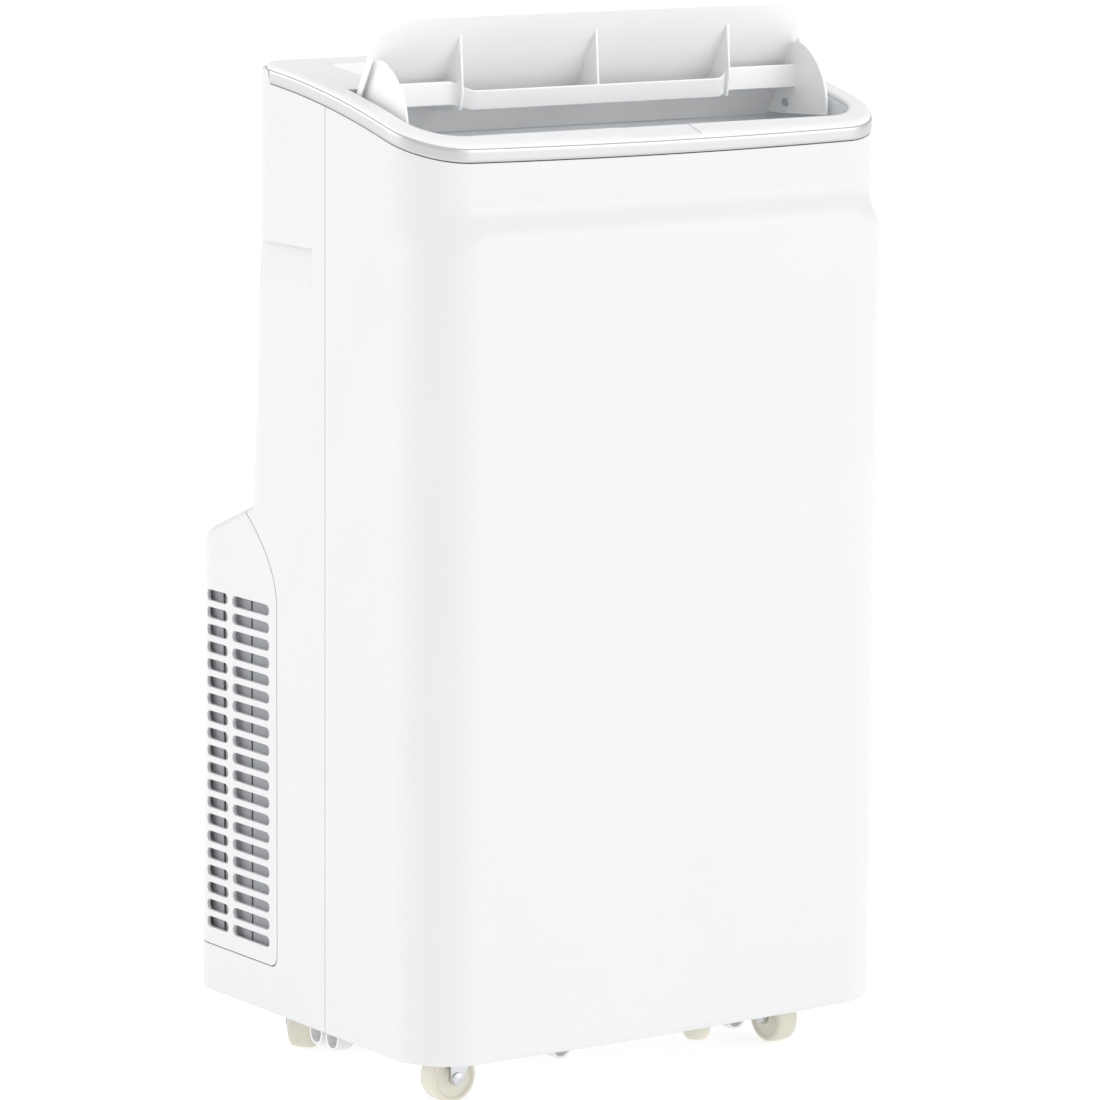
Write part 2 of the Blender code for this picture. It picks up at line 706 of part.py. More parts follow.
button_slope = (deck_z(BUTTON_Y + MM) - deck_z(BUTTON_Y)) / MM
deck_normal = Vector((0, -button_slope, 1)).normalized()
for index, label in enumerate(BUTTONS):
    x = button_x(index)
    face = Vector((x, BUTTON_Y, deck_z(BUTTON_Y)))
    reach = deck_normal * 20 * MM
    boolean(fascia, cylinder(f"{label}_hole", BUTTON_RADIUS + 0.4 * MM, face - reach, face + reach))
    top = face + deck_normal * 1.2 * MM
    cylinder(f"{label}_button", BUTTON_RADIUS, face - deck_normal * 5 * MM, top, WARM_WHITE, face)
deck_block("control_board", (-165 * MM, 14 * MM), (165 * MM, 54 * MM), 9 * MM, 14 * MM, GREY)

# ---------------------------------------------------------------- outlet duct and flap

duct_wall = 2 * MM
duct_front = OUTLET_FRONT_Y - 0.5 * MM
duct_outline = round_front(
    DUCT_HALF_WIDTH + duct_wall,
    duct_front - duct_wall,
    DUCT_REAR_Y + duct_wall,
    OUTLET_RADIUS + duct_wall,
)
duct_hollow = round_front(DUCT_HALF_WIDTH, duct_front, DUCT_REAR_Y, OUTLET_RADIUS)
duct_floor = Matrix.Translation((0, 0, DUCT_FLOOR_Z))
lowered = Matrix.Translation((0, 0, DUCT_FLOOR_Z - 3 * MM))
duct = place("outlet_duct", outline_mesh("outlet_duct", duct_outline, 0.12, lowered), GREY)
boolean(duct, place("duct_inside", outline_mesh("duct_inside", duct_hollow, 0.2, duct_floor)))
boolean(duct, deck_block("above_duct", (-BIG, -BIG), (BIG, BIG), -BIG, DECK_THICK + GAP))
throat = bmesh.new()
add_box(throat, (-190 * MM, -125 * MM, 0.6), (190 * MM, LOUVER_Y - 8 * MM, 0.68))
add_box(throat, (-190 * MM, LOUVER_Y + 8 * MM, 0.6), (190 * MM, -20 * MM, 0.68))
for index in range(LOUVER_COUNT):
    x = (index - (LOUVER_COUNT - 1) / 2) * LOUVER_PITCH
    add_cylinder(throat, 2.9 * MM, (x, LOUVER_Y, 0.6), (x, LOUVER_Y, 0.68), 12)
boolean(duct, place("duct_throat", mesh_from(throat, "throat")))
PIN_RADIUS = 3 * MM
pin_hole = cylinder(
    "pin_hole", PIN_RADIUS + 0.4 * MM, FLAP_PIVOT - Vector((BIG, 0, 0)), FLAP_PIVOT + Vector((BIG, 0, 0))
)
boolean(duct, pin_hole)
for side, label in ((-1, "left"), (1, "right")):
    across = Vector((side, 0, 0))
    pin = bmesh.new()
    add_cylinder(pin, PIN_RADIUS, FLAP_PIVOT + across * 192 * MM, FLAP_PIVOT + across * 205 * MM, 12)
    head = cylinder(
        f"{label}_pin_head", 5 * MM, FLAP_PIVOT + across * 203.9 * MM, FLAP_PIVOT + across * 206.5 * MM
    )
    boolean(round_off(place(f"flap_pin_{label}", mesh_from(pin, "pin"), ZINC)), head, "UNION")

up_plate = Vector((0, -math.sin(FLAP_LEAN), math.cos(FLAP_LEAN)))
out_plate = Vector((0, -math.cos(FLAP_LEAN), -math.sin(FLAP_LEAN)))


def plate_point(along, out=0.0):
    """A point on the flap's plate in the y-z plane: along it from its foot, and out from its outer face."""
    spot = FLAP_FOOT + up_plate * along + out_plate * out
    return (spot.y, spot.z)


CORNER = 31 * MM
plate_outline = [(-FLAP_HALF_WIDTH, 0), (FLAP_HALF_WIDTH, 0)]
plate_outline += arc((FLAP_HALF_WIDTH - CORNER, FLAP_LENGTH - CORNER), CORNER, 0, 90, 6)
plate_outline += arc((-FLAP_HALF_WIDTH + CORNER, FLAP_LENGTH - CORNER), CORNER, 90, 180, 6)
plate_frame = Matrix((
    (1, 0, 0, 0),
    (0, up_plate.y, out_plate.y, FLAP_FOOT.y),
    (0, up_plate.z, out_plate.z, FLAP_FOOT.z),
    (0, 0, 0, 1),
))
plate_mesh = outline_mesh("outlet_flap", plate_outline, FLAP_THICK, plate_frame)
flap = place("outlet_flap", plate_mesh, WARM_WHITE, FLAP_PIVOT)

pivot = (FLAP_PIVOT.y, FLAP_PIVOT.z)
cheek_outline = [plate_point(2 * MM, 1 * MM), plate_point(66 * MM, 1 * MM)]
cheek_outline += arc(pivot, CHEEK_RADIUS, 106, 188, 10)
cheek_outline += [(pivot[0], pivot[1] - 10 * MM)]
VANE_SIDE = ((-51 * MM, 772 * MM), (-51 * MM, 754 * MM))
VANE_MIDDLE = ((-60 * MM, 765 * MM), (-57 * MM, 750 * MM))
for side in (-1, 1):
    low = side * CHEEK_X if side > 0 else -CHEEK_X - CHEEK_THICK
    boolean(flap, side_profile(f"cheek_{side + 1}", cheek_outline, low, low + CHEEK_THICK), "UNION")
rib_plate_ends = (plate_point(91 * MM, 1 * MM), plate_point(20 * MM, 1 * MM))
rib_outline = [rib_plate_ends[0], *VANE_MIDDLE, rib_plate_ends[1]]
for index in (-1, 0, 1):
    x = index * RIB_SPACING
    boolean(flap, side_profile(f"rib_{index + 1}", rib_outline, x - 1 * MM, x + 1 * MM), "UNION")


def vane():
    """The cross vane, a strip whose middle steps forward and down between the outer ribs."""
    bm = bmesh.new()
    end = CHEEK_X + 1 * MM
    stops = [-end, -132 * MM, -127 * MM, -121 * MM, -115 * MM, 115 * MM, 121 * MM, 127 * MM, 132 * MM, end]
    columns = []
    for x in stops:
        share = 1 - smooth_step(abs(x), 115 * MM, 132 * MM)
        column = []
        for outside, inside in zip(VANE_SIDE, VANE_MIDDLE):
            y = outside[0] + (inside[0] - outside[0]) * share
            z = outside[1] + (inside[1] - outside[1]) * share
            column.append(bm.verts.new((x, y, z)))
        columns.append(column)
    for near, far in zip(columns, columns[1:]):
        bm.faces.new((near[0], far[0], far[1], near[1]))
    made = place("vane", mesh_from(bm, "vane"))
    wall = made.modifiers.new("wall", "SOLIDIFY")
    wall.thickness = 2.4 * MM
    wall.offset = 0
    return made


boolean(flap, vane(), "UNION")
across = Vector((BIG, 0, 0))
cheek_hole = cylinder("cheek_hole", PIN_RADIUS + 0.4 * MM, FLAP_PIVOT - across, FLAP_PIVOT + across)
boolean(flap, cheek_hole)

# ---------------------------------------------------------------- louvers in the duct

LOUVER_LOW_Z = 669 * MM
LOUVER_HIGH_Z = 706 * MM
link = box(
    "louver_link",
    (-165 * MM, LOUVER_Y - LOUVER_ARM - 5 * MM, LOUVER_HIGH_Z + 1 * MM),
    (165 * MM, LOUVER_Y - LOUVER_ARM + 7 * MM, LOUVER_HIGH_Z + 4 * MM),
    GREY,
)
link_slots = bmesh.new()
for index in range(LOUVER_COUNT):
    x = (index - (LOUVER_COUNT - 1) / 2) * LOUVER_PITCH
    bm = bmesh.new()
    blade_low = (x - 1 * MM, LOUVER_Y - 34 * MM, LOUVER_LOW_Z)
    add_box(bm, blade_low, (x + 1 * MM, LOUVER_Y + 30 * MM, LOUVER_HIGH_Z))
    blade = place(f"louver_{index + 1}", mesh_from(bm, "louver"), GREY, (x, LOUVER_Y, LOUVER_LOW_Z))
    foot_low = Vector((x, LOUVER_Y, DUCT_FLOOR_Z - 2 * MM))
    foot_high = foot_low + Vector((0, 0, 12 * MM))
    foot = cylinder(f"louver_{index + 1}_foot", 2.5 * MM, foot_low, foot_high, sides=12)
    crank = Vector((x, LOUVER_Y - LOUVER_ARM, 0))
    peg = cylinder(
        f"louver_{index + 1}_peg",
        1.5 * MM,
        crank + Vector((0, 0, LOUVER_HIGH_Z - 4 * MM)),
        crank + Vector((0, 0, LOUVER_HIGH_Z + 6 * MM)),
        sides=8,
    )
    boolean(blade, foot, "UNION")
    boolean(blade, peg, "UNION")
    low = crank + Vector((-2.3 * MM, -2.5 * MM, 690 * MM))
    add_box(link_slots, low, crank + Vector((2.3 * MM, 5.2 * MM, 730 * MM)))
boolean(link, place("link_slots", mesh_from(link_slots, "link_slots")))

# ---------------------------------------------------------------- inside the cabinet

divider_outline = plan(FRONT_Y, 100 * MM, WALL + 1 * MM)
divider_height = Matrix.Translation((0, 0, DIVIDER_Z))
divider = outline_mesh("divider_pan", divider_outline, 4 * MM, divider_height)
place("divider_pan", divider, GREY)


def finned_coil(name, low, high, fin_pitch, finish):
    """A heat exchanger block with grooves between groups of fins."""
    made = box(name, low, high, finish)
    bm = bmesh.new()
    margin = 8 * MM
    faces = ((low[1] - 5 * MM, low[1] + margin), (high[1] - margin, high[1] + 5 * MM))
    x = low[0] + fin_pitch
    while x < high[0] - fin_pitch / 2:
        for near, far in faces:
            add_box(bm, (x - 1 * MM, near, low[2] + margin), (x + 1 * MM, far, high[2] - margin))
        x += fin_pitch
    return boolean(made, place(f"{name}_grooves", mesh_from(bm, "grooves")))


condenser_box = ((-165 * MM, 112 * MM, 82 * MM), (165 * MM, 140 * MM, 372 * MM))
evaporator_box = ((-195 * MM, 40 * MM, 410 * MM), (20 * MM, 66 * MM, 655 * MM))
finned_coil("condenser_coil", *condenser_box, 30 * MM, ALUMINIUM)
finned_coil("evaporator_coil", *evaporator_box, 30 * MM, ALUMINIUM)


def filter_panel(name, low, high, finish):
    """A thin filter: a frame with a cross-barred window."""
    made = box(name, low, high, finish)
    bm = bmesh.new()
    columns, rows = 3, 3
    bar = 6 * MM
    step_x = (high[0] - low[0] - bar) / columns
    step_z = (high[2] - low[2] - bar) / rows
    for column in range(columns):
        for row in range(rows):
            x, z = low[0] + bar + column * step_x, low[2] + bar + row * step_z
            add_box(bm, (x, low[1] - 5 * MM, z), (x + step_x - bar, high[1] + 5 * MM, z + step_z - bar))
    return boolean(made, place(f"{name}_windows", mesh_from(bm, "windows")))


filter_panel("lower_filter", (-180 * MM, 158 * MM, 86 * MM), (180 * MM, 161 * MM, 380 * MM), FILTER)
filter_panel("upper_filter", (-185 * MM, 78 * MM, 470 * MM), (20 * MM, 81 * MM, 660 * MM), FILTER)


def blower(name, centre, radius, depth, outlet_z):
    """A blower along y: an open-fronted scroll housing with an upward outlet, its wheel, and a motor."""
    x, y, z = centre
    spiral = []
    for step in range(17):
        angle = math.radians(step * 16.875)
        reach = radius * (1.18 + 0.22 * step / 16)
        spiral.append((x + reach * math.cos(angle), z - reach * math.sin(angle)))
    left = spiral[-1][0]
    outline = spiral[:-1] + [(left, outlet_z), (spiral[0][0], outlet_z)]
    upright = Matrix(((1, 0, 0, 0), (0, 0, -1, y + depth / 2), (0, 1, 0, 0), (0, 0, 0, 1)))
    housing = place(f"{name}_housing", outline_mesh(name, outline, depth, upright), GREY)
    middle = Vector((x, 0, z))
    inside = [
        (middle.x + (px - middle.x) * 0.965, min(middle.z + (pz - middle.z) * 0.965, outlet_z))
        for px, pz in outline[:-2]
    ]
    inside += [(inside[-1][0], outlet_z + 10 * MM), (inside[0][0], outlet_z + 10 * MM)]
    wall = 2.5 * MM
    inner = Matrix(((1, 0, 0, 0), (0, 0, -1, y + depth / 2 - wall), (0, 1, 0, 0), (0, 0, 0, 1)))
    boolean(housing, place(f"{name}_scroll", outline_mesh(name, inside, depth - 2 * wall, inner)))
    mouth = cylinder(f"{name}_mouth", radius * 0.8, (x, y, z), (x, y + depth, z), sides=20)
    boolean(housing, mouth)
    port = cylinder(f"{name}_motor_port", 6 * MM, (x, y - depth, z), (x, y, z))
    boolean(housing, port)

    half = depth / 2 - 7 * MM
    rim, top = radius / MM, half / MM
    wheel_profile = [
        (rim * 0.78, top), (rim, top), (rim, -top), (4.3, -top), (4.3, -top + 3), (rim * 0.78, -top + 3),
        (rim * 0.78, top),
    ]
    wheel = turned(f"{name}_wheel", wheel_profile, centre, DARK, axis="Y", sides=20)
    gaps = bmesh.new()
    for step in range(10):
        turn = Matrix.Translation(centre) @ Matrix.Rotation(math.radians(step * 36), 4, "Y")
        gap_low = (radius * 0.7, -half + 6 * MM, -6 * MM)
        verts = add_box(gaps, gap_low, (radius * 1.1, half - 6 * MM, 6 * MM))
        bmesh.ops.transform(gaps, matrix=turn, verts=verts)
    boolean(wheel, place(f"{name}_blade_gaps", mesh_from(gaps, "gaps")))

    bm = bmesh.new()
    back = y - depth / 2
    add_cylinder(bm, radius * 0.42, (x, back - 40 * MM, z), (x, back - 0.5 * MM, z), 20)
    motor = round_off(place(f"{name}_motor", mesh_from(bm, "motor"), BLACK_PAINT))
    shaft_back = (x, back - 10 * MM, z)
    shaft = cylinder(f"{name}_shaft", 4 * MM, shaft_back, (x, y - half + 6 * MM, z), sides=12)
    boolean(motor, shaft, "UNION")


blower("upper_blower", Vector((-60, -45, 545)) * MM, 82 * MM, 80 * MM, 658 * MM)
blower("lower_blower", Vector((95, 30, 200)) * MM, 70 * MM, 76 * MM, 330 * MM)

COMPRESSOR_PLACE = (-115 * MM, -30 * MM)
compressor_profile = [
    (0, 268), (12, 268), (34, 262), (48, 248), (52, 236), (52, 100),
    (48, 88), (34, 80), (34, 76), (68, 76), (68, 73), (0, 73),
]
turned("compressor", compressor_profile, (*COMPRESSOR_PLACE, 0), BLACK_PAINT)
for index in range(3):
    angle = math.radians(90 + 120 * index)
    spot = Vector((*COMPRESSOR_PLACE, 0)) + Vector((math.cos(angle), math.sin(angle), 0)) * 58 * MM
    cylinder(
        f"compressor_foot_{index + 1}",
        9 * MM,
        spot + Vector((0, 0, 55.3 * MM)),
        spot + Vector((0, 0, 72.7 * MM)),
        RUBBER,
        sides=12,
    )
riser = [
    (-180, -70, 60), (-180, -70, 200), (-176, -62, 300), (-170, -50, 340), (-158, -40, 350),
    (-140, -33, 345), (-126, -30, 320), (-118, -30, 290), (-115, -30, 268.5),
]
tube("discharge_pipe", [Vector(point) * MM for point in riser], 4 * MM, COPPER)

# Rear foot of the cabinet: the mains lead's inlet and the continuous drain's cap
GLAND_PLACE = Vector((-150, 181.4, 69)) * MM
CAP_PLACE = GLAND_PLACE + Vector((220 * MM, 0, 0))
for name, spot in (("gland_hole", GLAND_PLACE), ("cap_hole", CAP_PLACE)):
    reach = Vector((0, 20 * MM, 0))
    boolean(rear_shell, cylinder(name, 7.4 * MM, spot - reach, spot + reach))
turned(
    "cord_gland",
    [(4, 1.5), (8, 1.5), (9.5, 0.8), (9.5, 0.4), (7, 0.4), (7, -8), (4, -8), (4, 1.5)],
    GLAND_PLACE,
    DARK,
    axis="Y",
)
turned(
    "rear_drain_cap",
    [(0, 1.5), (8, 1.5), (9.5, 0.8), (9.5, 0.4), (7, 0.4), (7, -8), (0, -8)],
    CAP_PLACE,
    NYLON,
    axis="Y",
)

# The finished machine is moved over the origin, cutters and all.
for made in bpy.data.objects:
    made.location.y -= MIDDLE_Y
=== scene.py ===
"""Portable air conditioner: the visible pieces and finishes, built round the packed frame."""

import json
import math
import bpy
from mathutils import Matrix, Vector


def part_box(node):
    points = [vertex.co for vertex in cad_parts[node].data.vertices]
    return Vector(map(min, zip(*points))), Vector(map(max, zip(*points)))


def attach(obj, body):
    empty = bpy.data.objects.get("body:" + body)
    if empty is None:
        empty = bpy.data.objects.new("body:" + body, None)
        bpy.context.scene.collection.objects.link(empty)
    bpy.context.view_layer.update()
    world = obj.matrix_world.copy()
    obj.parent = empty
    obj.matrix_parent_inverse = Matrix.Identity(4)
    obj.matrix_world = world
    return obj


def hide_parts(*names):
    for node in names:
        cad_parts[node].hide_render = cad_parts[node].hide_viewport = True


bl_info = {
    "name": "Portable air conditioner",
    "version": (1, 0, 0),
    "blender": (4, 5, 0),
    "location": "3D View > Sidebar > Air conditioner",
    "description": "Models and finishes a portable air conditioner on casters",
    "category": "Object",
}

import bpy
from bpy.props import (
    FloatProperty,
    FloatVectorProperty,
    IntProperty,
    PointerProperty,
)
from mathutils import Matrix, Vector

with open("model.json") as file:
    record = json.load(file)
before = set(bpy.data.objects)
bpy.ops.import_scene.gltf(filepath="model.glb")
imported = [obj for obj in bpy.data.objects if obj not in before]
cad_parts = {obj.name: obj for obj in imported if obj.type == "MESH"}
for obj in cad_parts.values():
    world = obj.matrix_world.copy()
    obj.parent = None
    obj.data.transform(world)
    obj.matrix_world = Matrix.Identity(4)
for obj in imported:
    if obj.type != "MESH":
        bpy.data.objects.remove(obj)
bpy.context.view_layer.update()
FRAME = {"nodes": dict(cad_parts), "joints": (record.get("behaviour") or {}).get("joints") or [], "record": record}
MM = 0.001

# Places that the frame fixes
CABINET_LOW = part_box("front_shell")[0]
SEAM_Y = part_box("front_shell")[1].y
HALF_WIDTH = -CABINET_LOW.x
PIVOT = Vector(next(j["pos_m"] for j in FRAME["joints"] if j["name"] == "flap_hinge"))
EXHAUST = (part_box("exhaust_collar")[0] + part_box("exhaust_collar")[1]) / 2
CASTERS = ("front_left", "front_right", "rear_left", "rear_right")
BUTTONS = ("power", "mode", "fan", "temp_down", "temp_up", "timer")

# The cabinet's lines, in metres
FLAP_SWING = 31.6 * MM
FIT = 0.3 * MM
ACROSS = 0.6
FRONT_Y = -169.4 * MM
DECK_FRONT_Y = -157.4 * MM
TOP_EDGE = 4.2 * MM
BAND_FOOT = 14.3 * MM
BACK_LINE = ((42, 172.6), (409, 164.6), (437, 95.6), (777, 76.6), (900, 69.7))
BAND_END_Y = 50.6 * MM
GRILLE_FRONT_Y = 41.6 * MM
GRIP_FRONT_Y = -8.9 * MM
GRIP_HEIGHTS = (608 * MM, 646 * MM)

# The deck in millimetres: its height at the front edge, its slope there, and its bend
DECK_START, DECK_SLOPE, DECK_BEND = 734.4, 0.335, 0.00056


# ---------------------------------------------------------------- sizes and colours

def length(name, description, value):
    """A size in metres."""
    return FloatProperty(
        name=name, description=description, default=value, min=0, unit="LENGTH", precision=4
    )


def count(name, description, value):
    return IntProperty(name=name, description=description, default=value, min=1)


def amount(name, description, value):
    return FloatProperty(name=name, description=description, default=value, min=0)


def colour(name, description, value):
    return FloatVectorProperty(
        name=name, description=description, default=value, min=0, max=1, size=3, subtype="COLOR"
    )


class CabinetSizes(bpy.types.PropertyGroup):
    """Sizes of the cabinet's shells, top and band."""

    front_radius: length("Front corner", "Radius of the two front corners", 0.048)
    rear_radius: length("Rear corner", "Radius of the two rear corners", 0.028)
    wall: length("Wall", "Thickness of the moulded walls", 0.0026)
    bow: length("Bow", "How far the front bulges in its middle", 0.004)
    setback: length("Shoulder", "How far the upper front is set back", 0.012)
    grip_depth: length("Grip", "Depth of the side grips", 0.006)


class OutletSizes(bpy.types.PropertyGroup):
    """Sizes of the air outlet and its flap."""

    half_width: length("Half width", "Half the width of the opening", 0.2025)
    radius: length("Corner", "Radius of the opening's front corners", 0.033)
    flap_length: length("Flap length", "Length of the flap's plate", 0.105)
    flap_half_width: length("Flap half width", "Half the width of the flap", 0.201)
    flap_corner: length("Flap corner", "Radius of the plate's two corners", 0.031)
    plate: length("Plate", "Thickness of the flap's plate", 0.003)
    cheek_radius: length("Cheek", "Radius of the flap's two cheeks", 0.051)


class GrilleSizes(bpy.types.PropertyGroup):
    """Sizes of the air slots."""

    rows: count("Rows", "Rows of slots in the rear panel", 20)
    pitch: length("Pitch", "Height from one row to the next", 0.01377)
    slot: length("Slot", "Height of one slot", 0.0088)
    low: length("Lowest slot", "Height of the lowest row's middle", 0.0985)
    intake_rows: count("Intake rows", "Rows of slots in the upper back", 10)
    intake_pitch: length("Intake pitch", "Height from one intake slot to the next", 0.019)
    net_x: length("Net", "How far the filter net lies from the middle", 0.2125)


class CasterSizes(bpy.types.PropertyGroup):
    """Sizes of the casters."""

    wheel_radius: length("Wheel", "Radius of the wheels", 0.020)
    trail: length("Trail", "How far each axle trails behind its stem", 0.012)


class Finishes(bpy.types.PropertyGroup):
    """Colours of the finishes."""

    white: colour("White", "Cabinet plastic", (0.68, 0.682, 0.69))
    # Painted light: the top panel is the cabinet's own white plastic, tinted lighter here so that the upward deck
    # reads as brightly lit
    top_white_painted_light: colour("Top white, painted light", "Top panel plastic", (0.77, 0.772, 0.78))
    # Painted light: the flap, its fascia and its buttons are the cabinet's own white plastic, tinted lighter here
    # to stand in for light on the shaded flap
    flap_white_painted_light: colour("Flap white, painted light", "Flap and button plastic", (0.9, 0.905, 0.91))
    silver: colour("Silver", "Band round the top", (0.54, 0.545, 0.555))
    duct_grey: colour("Duct grey", "Air duct", (0.88, 0.9, 0.92))
    inner_grey: colour("Inner grey", "Plastic inside the cabinet", (0.78, 0.785, 0.79))
    nylon: colour("Nylon", "Wheels and drain caps", (0.70, 0.68, 0.58))
    zinc: colour("Zinc", "Plated steel", (0.62, 0.63, 0.65))
    fin: colour("Fins", "Aluminium fin stock", (0.60, 0.62, 0.64))


class StageSettings(bpy.types.PropertyGroup):
    """Floor, light and camera."""

    floor: colour("Floor", "Colour of the floor", (0.72, 0.72, 0.72))
    glow: amount("Glow", "Light that the floor paper gives off", 0.49)
    ambient: amount("Ambient", "Strength of the even light", 0.87)
    key: amount("Key", "Strength of each soft key light", 0.94)
    lens: FloatProperty(name="Lens", description="Focal length in millimetres", default=185.1, min=1)


# ---------------------------------------------------------------- form

def smooth_step(value, low, high):
    share = min(max((value - low) / (high - low), 0), 1)
    return share * share * (3 - 2 * share)


def deck_z(y, drop=0.0):
    """Height of the curved top at a y, less a drop."""
    reach = (y - DECK_FRONT_Y) / MM
    return (DECK_START + DECK_SLOPE * reach - DECK_BEND * reach * reach) * MM - drop


def back_line(z):
    """The back wall's y at a height in millimetres, with its two bends sharp."""
    for (low, at_low), (high, at_high) in zip(BACK_LINE, BACK_LINE[1:]):
        if z <= high:
            return at_low + (at_high - at_low) * (z - low) / (high - low)
    return BACK_LINE[-1][1]


def back_y(z):
    """The same with its bends rounded."""
    around = [back_line(max(z / MM + step, BACK_LINE[0][0])) for step in range(-5, 6)]
    return min(sum(around) / len(around), back_line(max(z / MM, BACK_LINE[0][0]))) * MM


def mirrored(points):
    """A half row from the left seam to the middle, and its mirror image from there on."""
    return points + [(-x, y, z) for x, y, z in reversed(points[:-1])]


def front_row(z, inset, top_drop=None, rise=0.0):
    """One row of the front, from seam to seam. With top_drop it leans up to the deck."""
    sizes = bpy.context.scene.aircon_cabinet
    radius, half = sizes.front_radius - inset, HALF_WIDTH - inset

    def setback(share):
        low = (642 + 20 * share) * MM
        return sizes.setback * smooth_step(z, low, low + 26 * MM)

    def height(y):
        return z if top_drop is None else z + (deck_z(y, top_drop) - z) * rise

    front = FRONT_Y + inset
    start = front + setback(0) + radius
    side_end = [SEAM_Y + (start - SEAM_Y) * step / 8 for step in range(8)]
    points = [(-half, y, height(y)) for y in side_end]
    for step in range(19):
        angle = math.radians(180 + 90 * step / 18)
        x = -half + radius + radius * math.cos(angle)
        y = front + setback(step / 18) + radius + radius * math.sin(angle)
        points.append((x, y, height(y)))
    span = half - radius
    for step in range(1, 15):
        x = -span * (1 - step / 14)
        y = front + setback(1) - sizes.bow * (1 - (x / span) ** 2)
        points.append((x, y, height(y)))
    return mirrored(points)


REAR_STATIONS = [-20, -9.6, -9.0, -8.6, -7.6, -5, 0, 12, 26, 41.6]
REAR_ANGLES = (0, 4.1, 4.8, 13, 22, 31, 40, 49, 58, 67, 76, 83, 90)


def grip_limit(z):
    """How deep a hand grip goes at a height: a sharp upper edge and a soft ramp below it."""
    sizes = bpy.context.scene.aircon_cabinet
    low, high = GRIP_HEIGHTS
    if not low < z < high:
        return 0.0
    return sizes.grip_depth * smooth_step(z, low, low + 0.55 * (high - low))


def rear_row(z, inset, rise=0.0):
    """One row of the back, from the left seam round to the right one."""
    sizes = bpy.context.scene.aircon_cabinet
    radius, half = sizes.rear_radius - inset, HALF_WIDTH - inset
    back = back_y(z) - inset

    def spot(x, y):
        if y > GRIP_FRONT_Y:
            x = max(x, -half + grip_limit(z) * smooth_step(y, GRIP_FRONT_Y, GRIP_FRONT_Y + 4 * MM))
        drop = TOP_EDGE if y > BAND_END_Y + 0.1 * MM else BAND_FOOT
        return (x, y, z + (deck_z(y, drop) - z) * rise)

    ahead = [SEAM_Y + 0.3 * MM] + [y * MM for y in REAR_STATIONS]
    start = back - radius
    points = [spot(-half, y) for y in ahead]
    points += [spot(-half, ahead[-1] + (start - ahead[-1]) * step / 4) for step in range(1, 4)]
    for degrees in REAR_ANGLES:
        angle = math.radians(180 - degrees)
        x = -half + radius + radius * math.cos(angle)
        points.append(spot(x, start + radius * math.sin(angle)))
    span = half - radius
    points += [spot(-span * (1 - step / 6), back) for step in range(1, 7)]
    return mirrored(points)


# ---------------------------------------------------------------- modelling helpers

def clear_selection():
    if bpy.context.mode != "OBJECT":
        bpy.ops.object.mode_set(mode="OBJECT")
    bpy.ops.object.select_all(action="DESELECT")


def choose(*pieces):
    clear_selection()
    for piece in pieces:
        piece.select_set(True)
    bpy.context.view_layer.objects.active = pieces[0]


def edit(piece):
    choose(piece)
    bpy.ops.object.mode_set(mode="EDIT")
    bpy.ops.mesh.select_all(action="SELECT")


def modify(piece, kind, **values):
    """Adds a modifier with these values and applies it."""
    choose(piece)
    step = piece.modifiers.new(kind.lower(), kind)
    for key, value in values.items():
        setattr(step, key, value)
    bpy.ops.object.modifier_apply(modifier=step.name)


def named(name):
    """The object just added, under its own name."""
    piece = bpy.context.object
    piece.name = name
    piece.data.name = name
    return piece


def eased(piece, width, degrees, segments=2):
    """Rounds every edge that turns by more than an angle."""
    modify(
        piece, "BEVEL", width=width, segments=segments,
        limit_method="ANGLE", angle_limit=math.radians(degrees),
    )


def walled(piece):
    """Gives a skin its wall, on the inner side."""
    wall = bpy.context.scene.aircon_cabinet.wall
    modify(piece, "SOLIDIFY", thickness=wall, offset=-1, use_even_offset=True)


def laid_grid(name, rows, closed=False, capped=False):
    """A grid whose rows are laid on rows of points, joined round and capped where it is closed."""
    if closed:
        rows = [list(row) + [row[0]] for row in rows]
    clear_selection()
    bpy.ops.mesh.primitive_grid_add(
        x_subdivisions=len(rows[0]) - 1, y_subdivisions=len(rows) - 1, size=1
    )
    piece = named(name)
    for vertex, point in zip(piece.data.vertices, [p for row in rows for p in row], strict=True):
        vertex.co = point
    edit(piece)
    bpy.ops.mesh.remove_doubles(threshold=0.002 * MM)
    if capped:
        bpy.ops.mesh.select_all(action="DESELECT")
        bpy.ops.mesh.select_non_manifold(extend=False)
        bpy.ops.mesh.fill_holes(sides=0)
        bpy.ops.mesh.select_all(action="SELECT")
    if closed:
        bpy.ops.mesh.normals_make_consistent(inside=False)
    bpy.ops.object.mode_set(mode="OBJECT")
    return piece


def prism(name, outline, depth, matrix=None, bevel=0.0, segments=3):
    """A filled outline extruded along its own z, with rounded edges, then carried to its place."""
    clear_selection()
    bpy.ops.mesh.primitive_circle_add(vertices=len(outline), radius=1, fill_type="NGON")
    piece = named(name)
    for vertex, (x, y) in zip(piece.data.vertices, outline, strict=True):
        vertex.co = (x, y, 0)
    edit(piece)
    bpy.ops.mesh.extrude_region_move(TRANSFORM_OT_translate={"value": (0, 0, depth)})
    bpy.ops.mesh.select_all(action="SELECT")
    bpy.ops.mesh.normals_make_consistent(inside=False)
    bpy.ops.object.mode_set(mode="OBJECT")
    if bevel:
        eased(piece, bevel, 40, segments)
    if matrix is not None:
        piece.data.transform(matrix)
        if matrix.determinant() < 0:
            piece.data.flip_normals()
    return piece


def lathe(name, profile, matrix=None, sides=64):
    """A profile of (radius, height) pairs in millimetres turned about z, then carried to its place."""
    rows = []
    for radius, height in profile:
        turn = [2 * math.pi * step / sides for step in range(sides)]
        rows.append([
            (radius * MM * math.cos(a), radius * MM * math.sin(a), height * MM) for a in turn
        ])
    piece = laid_grid(name, rows, closed=True)
    if matrix is not None:
        piece.data.transform(matrix)
    return piece


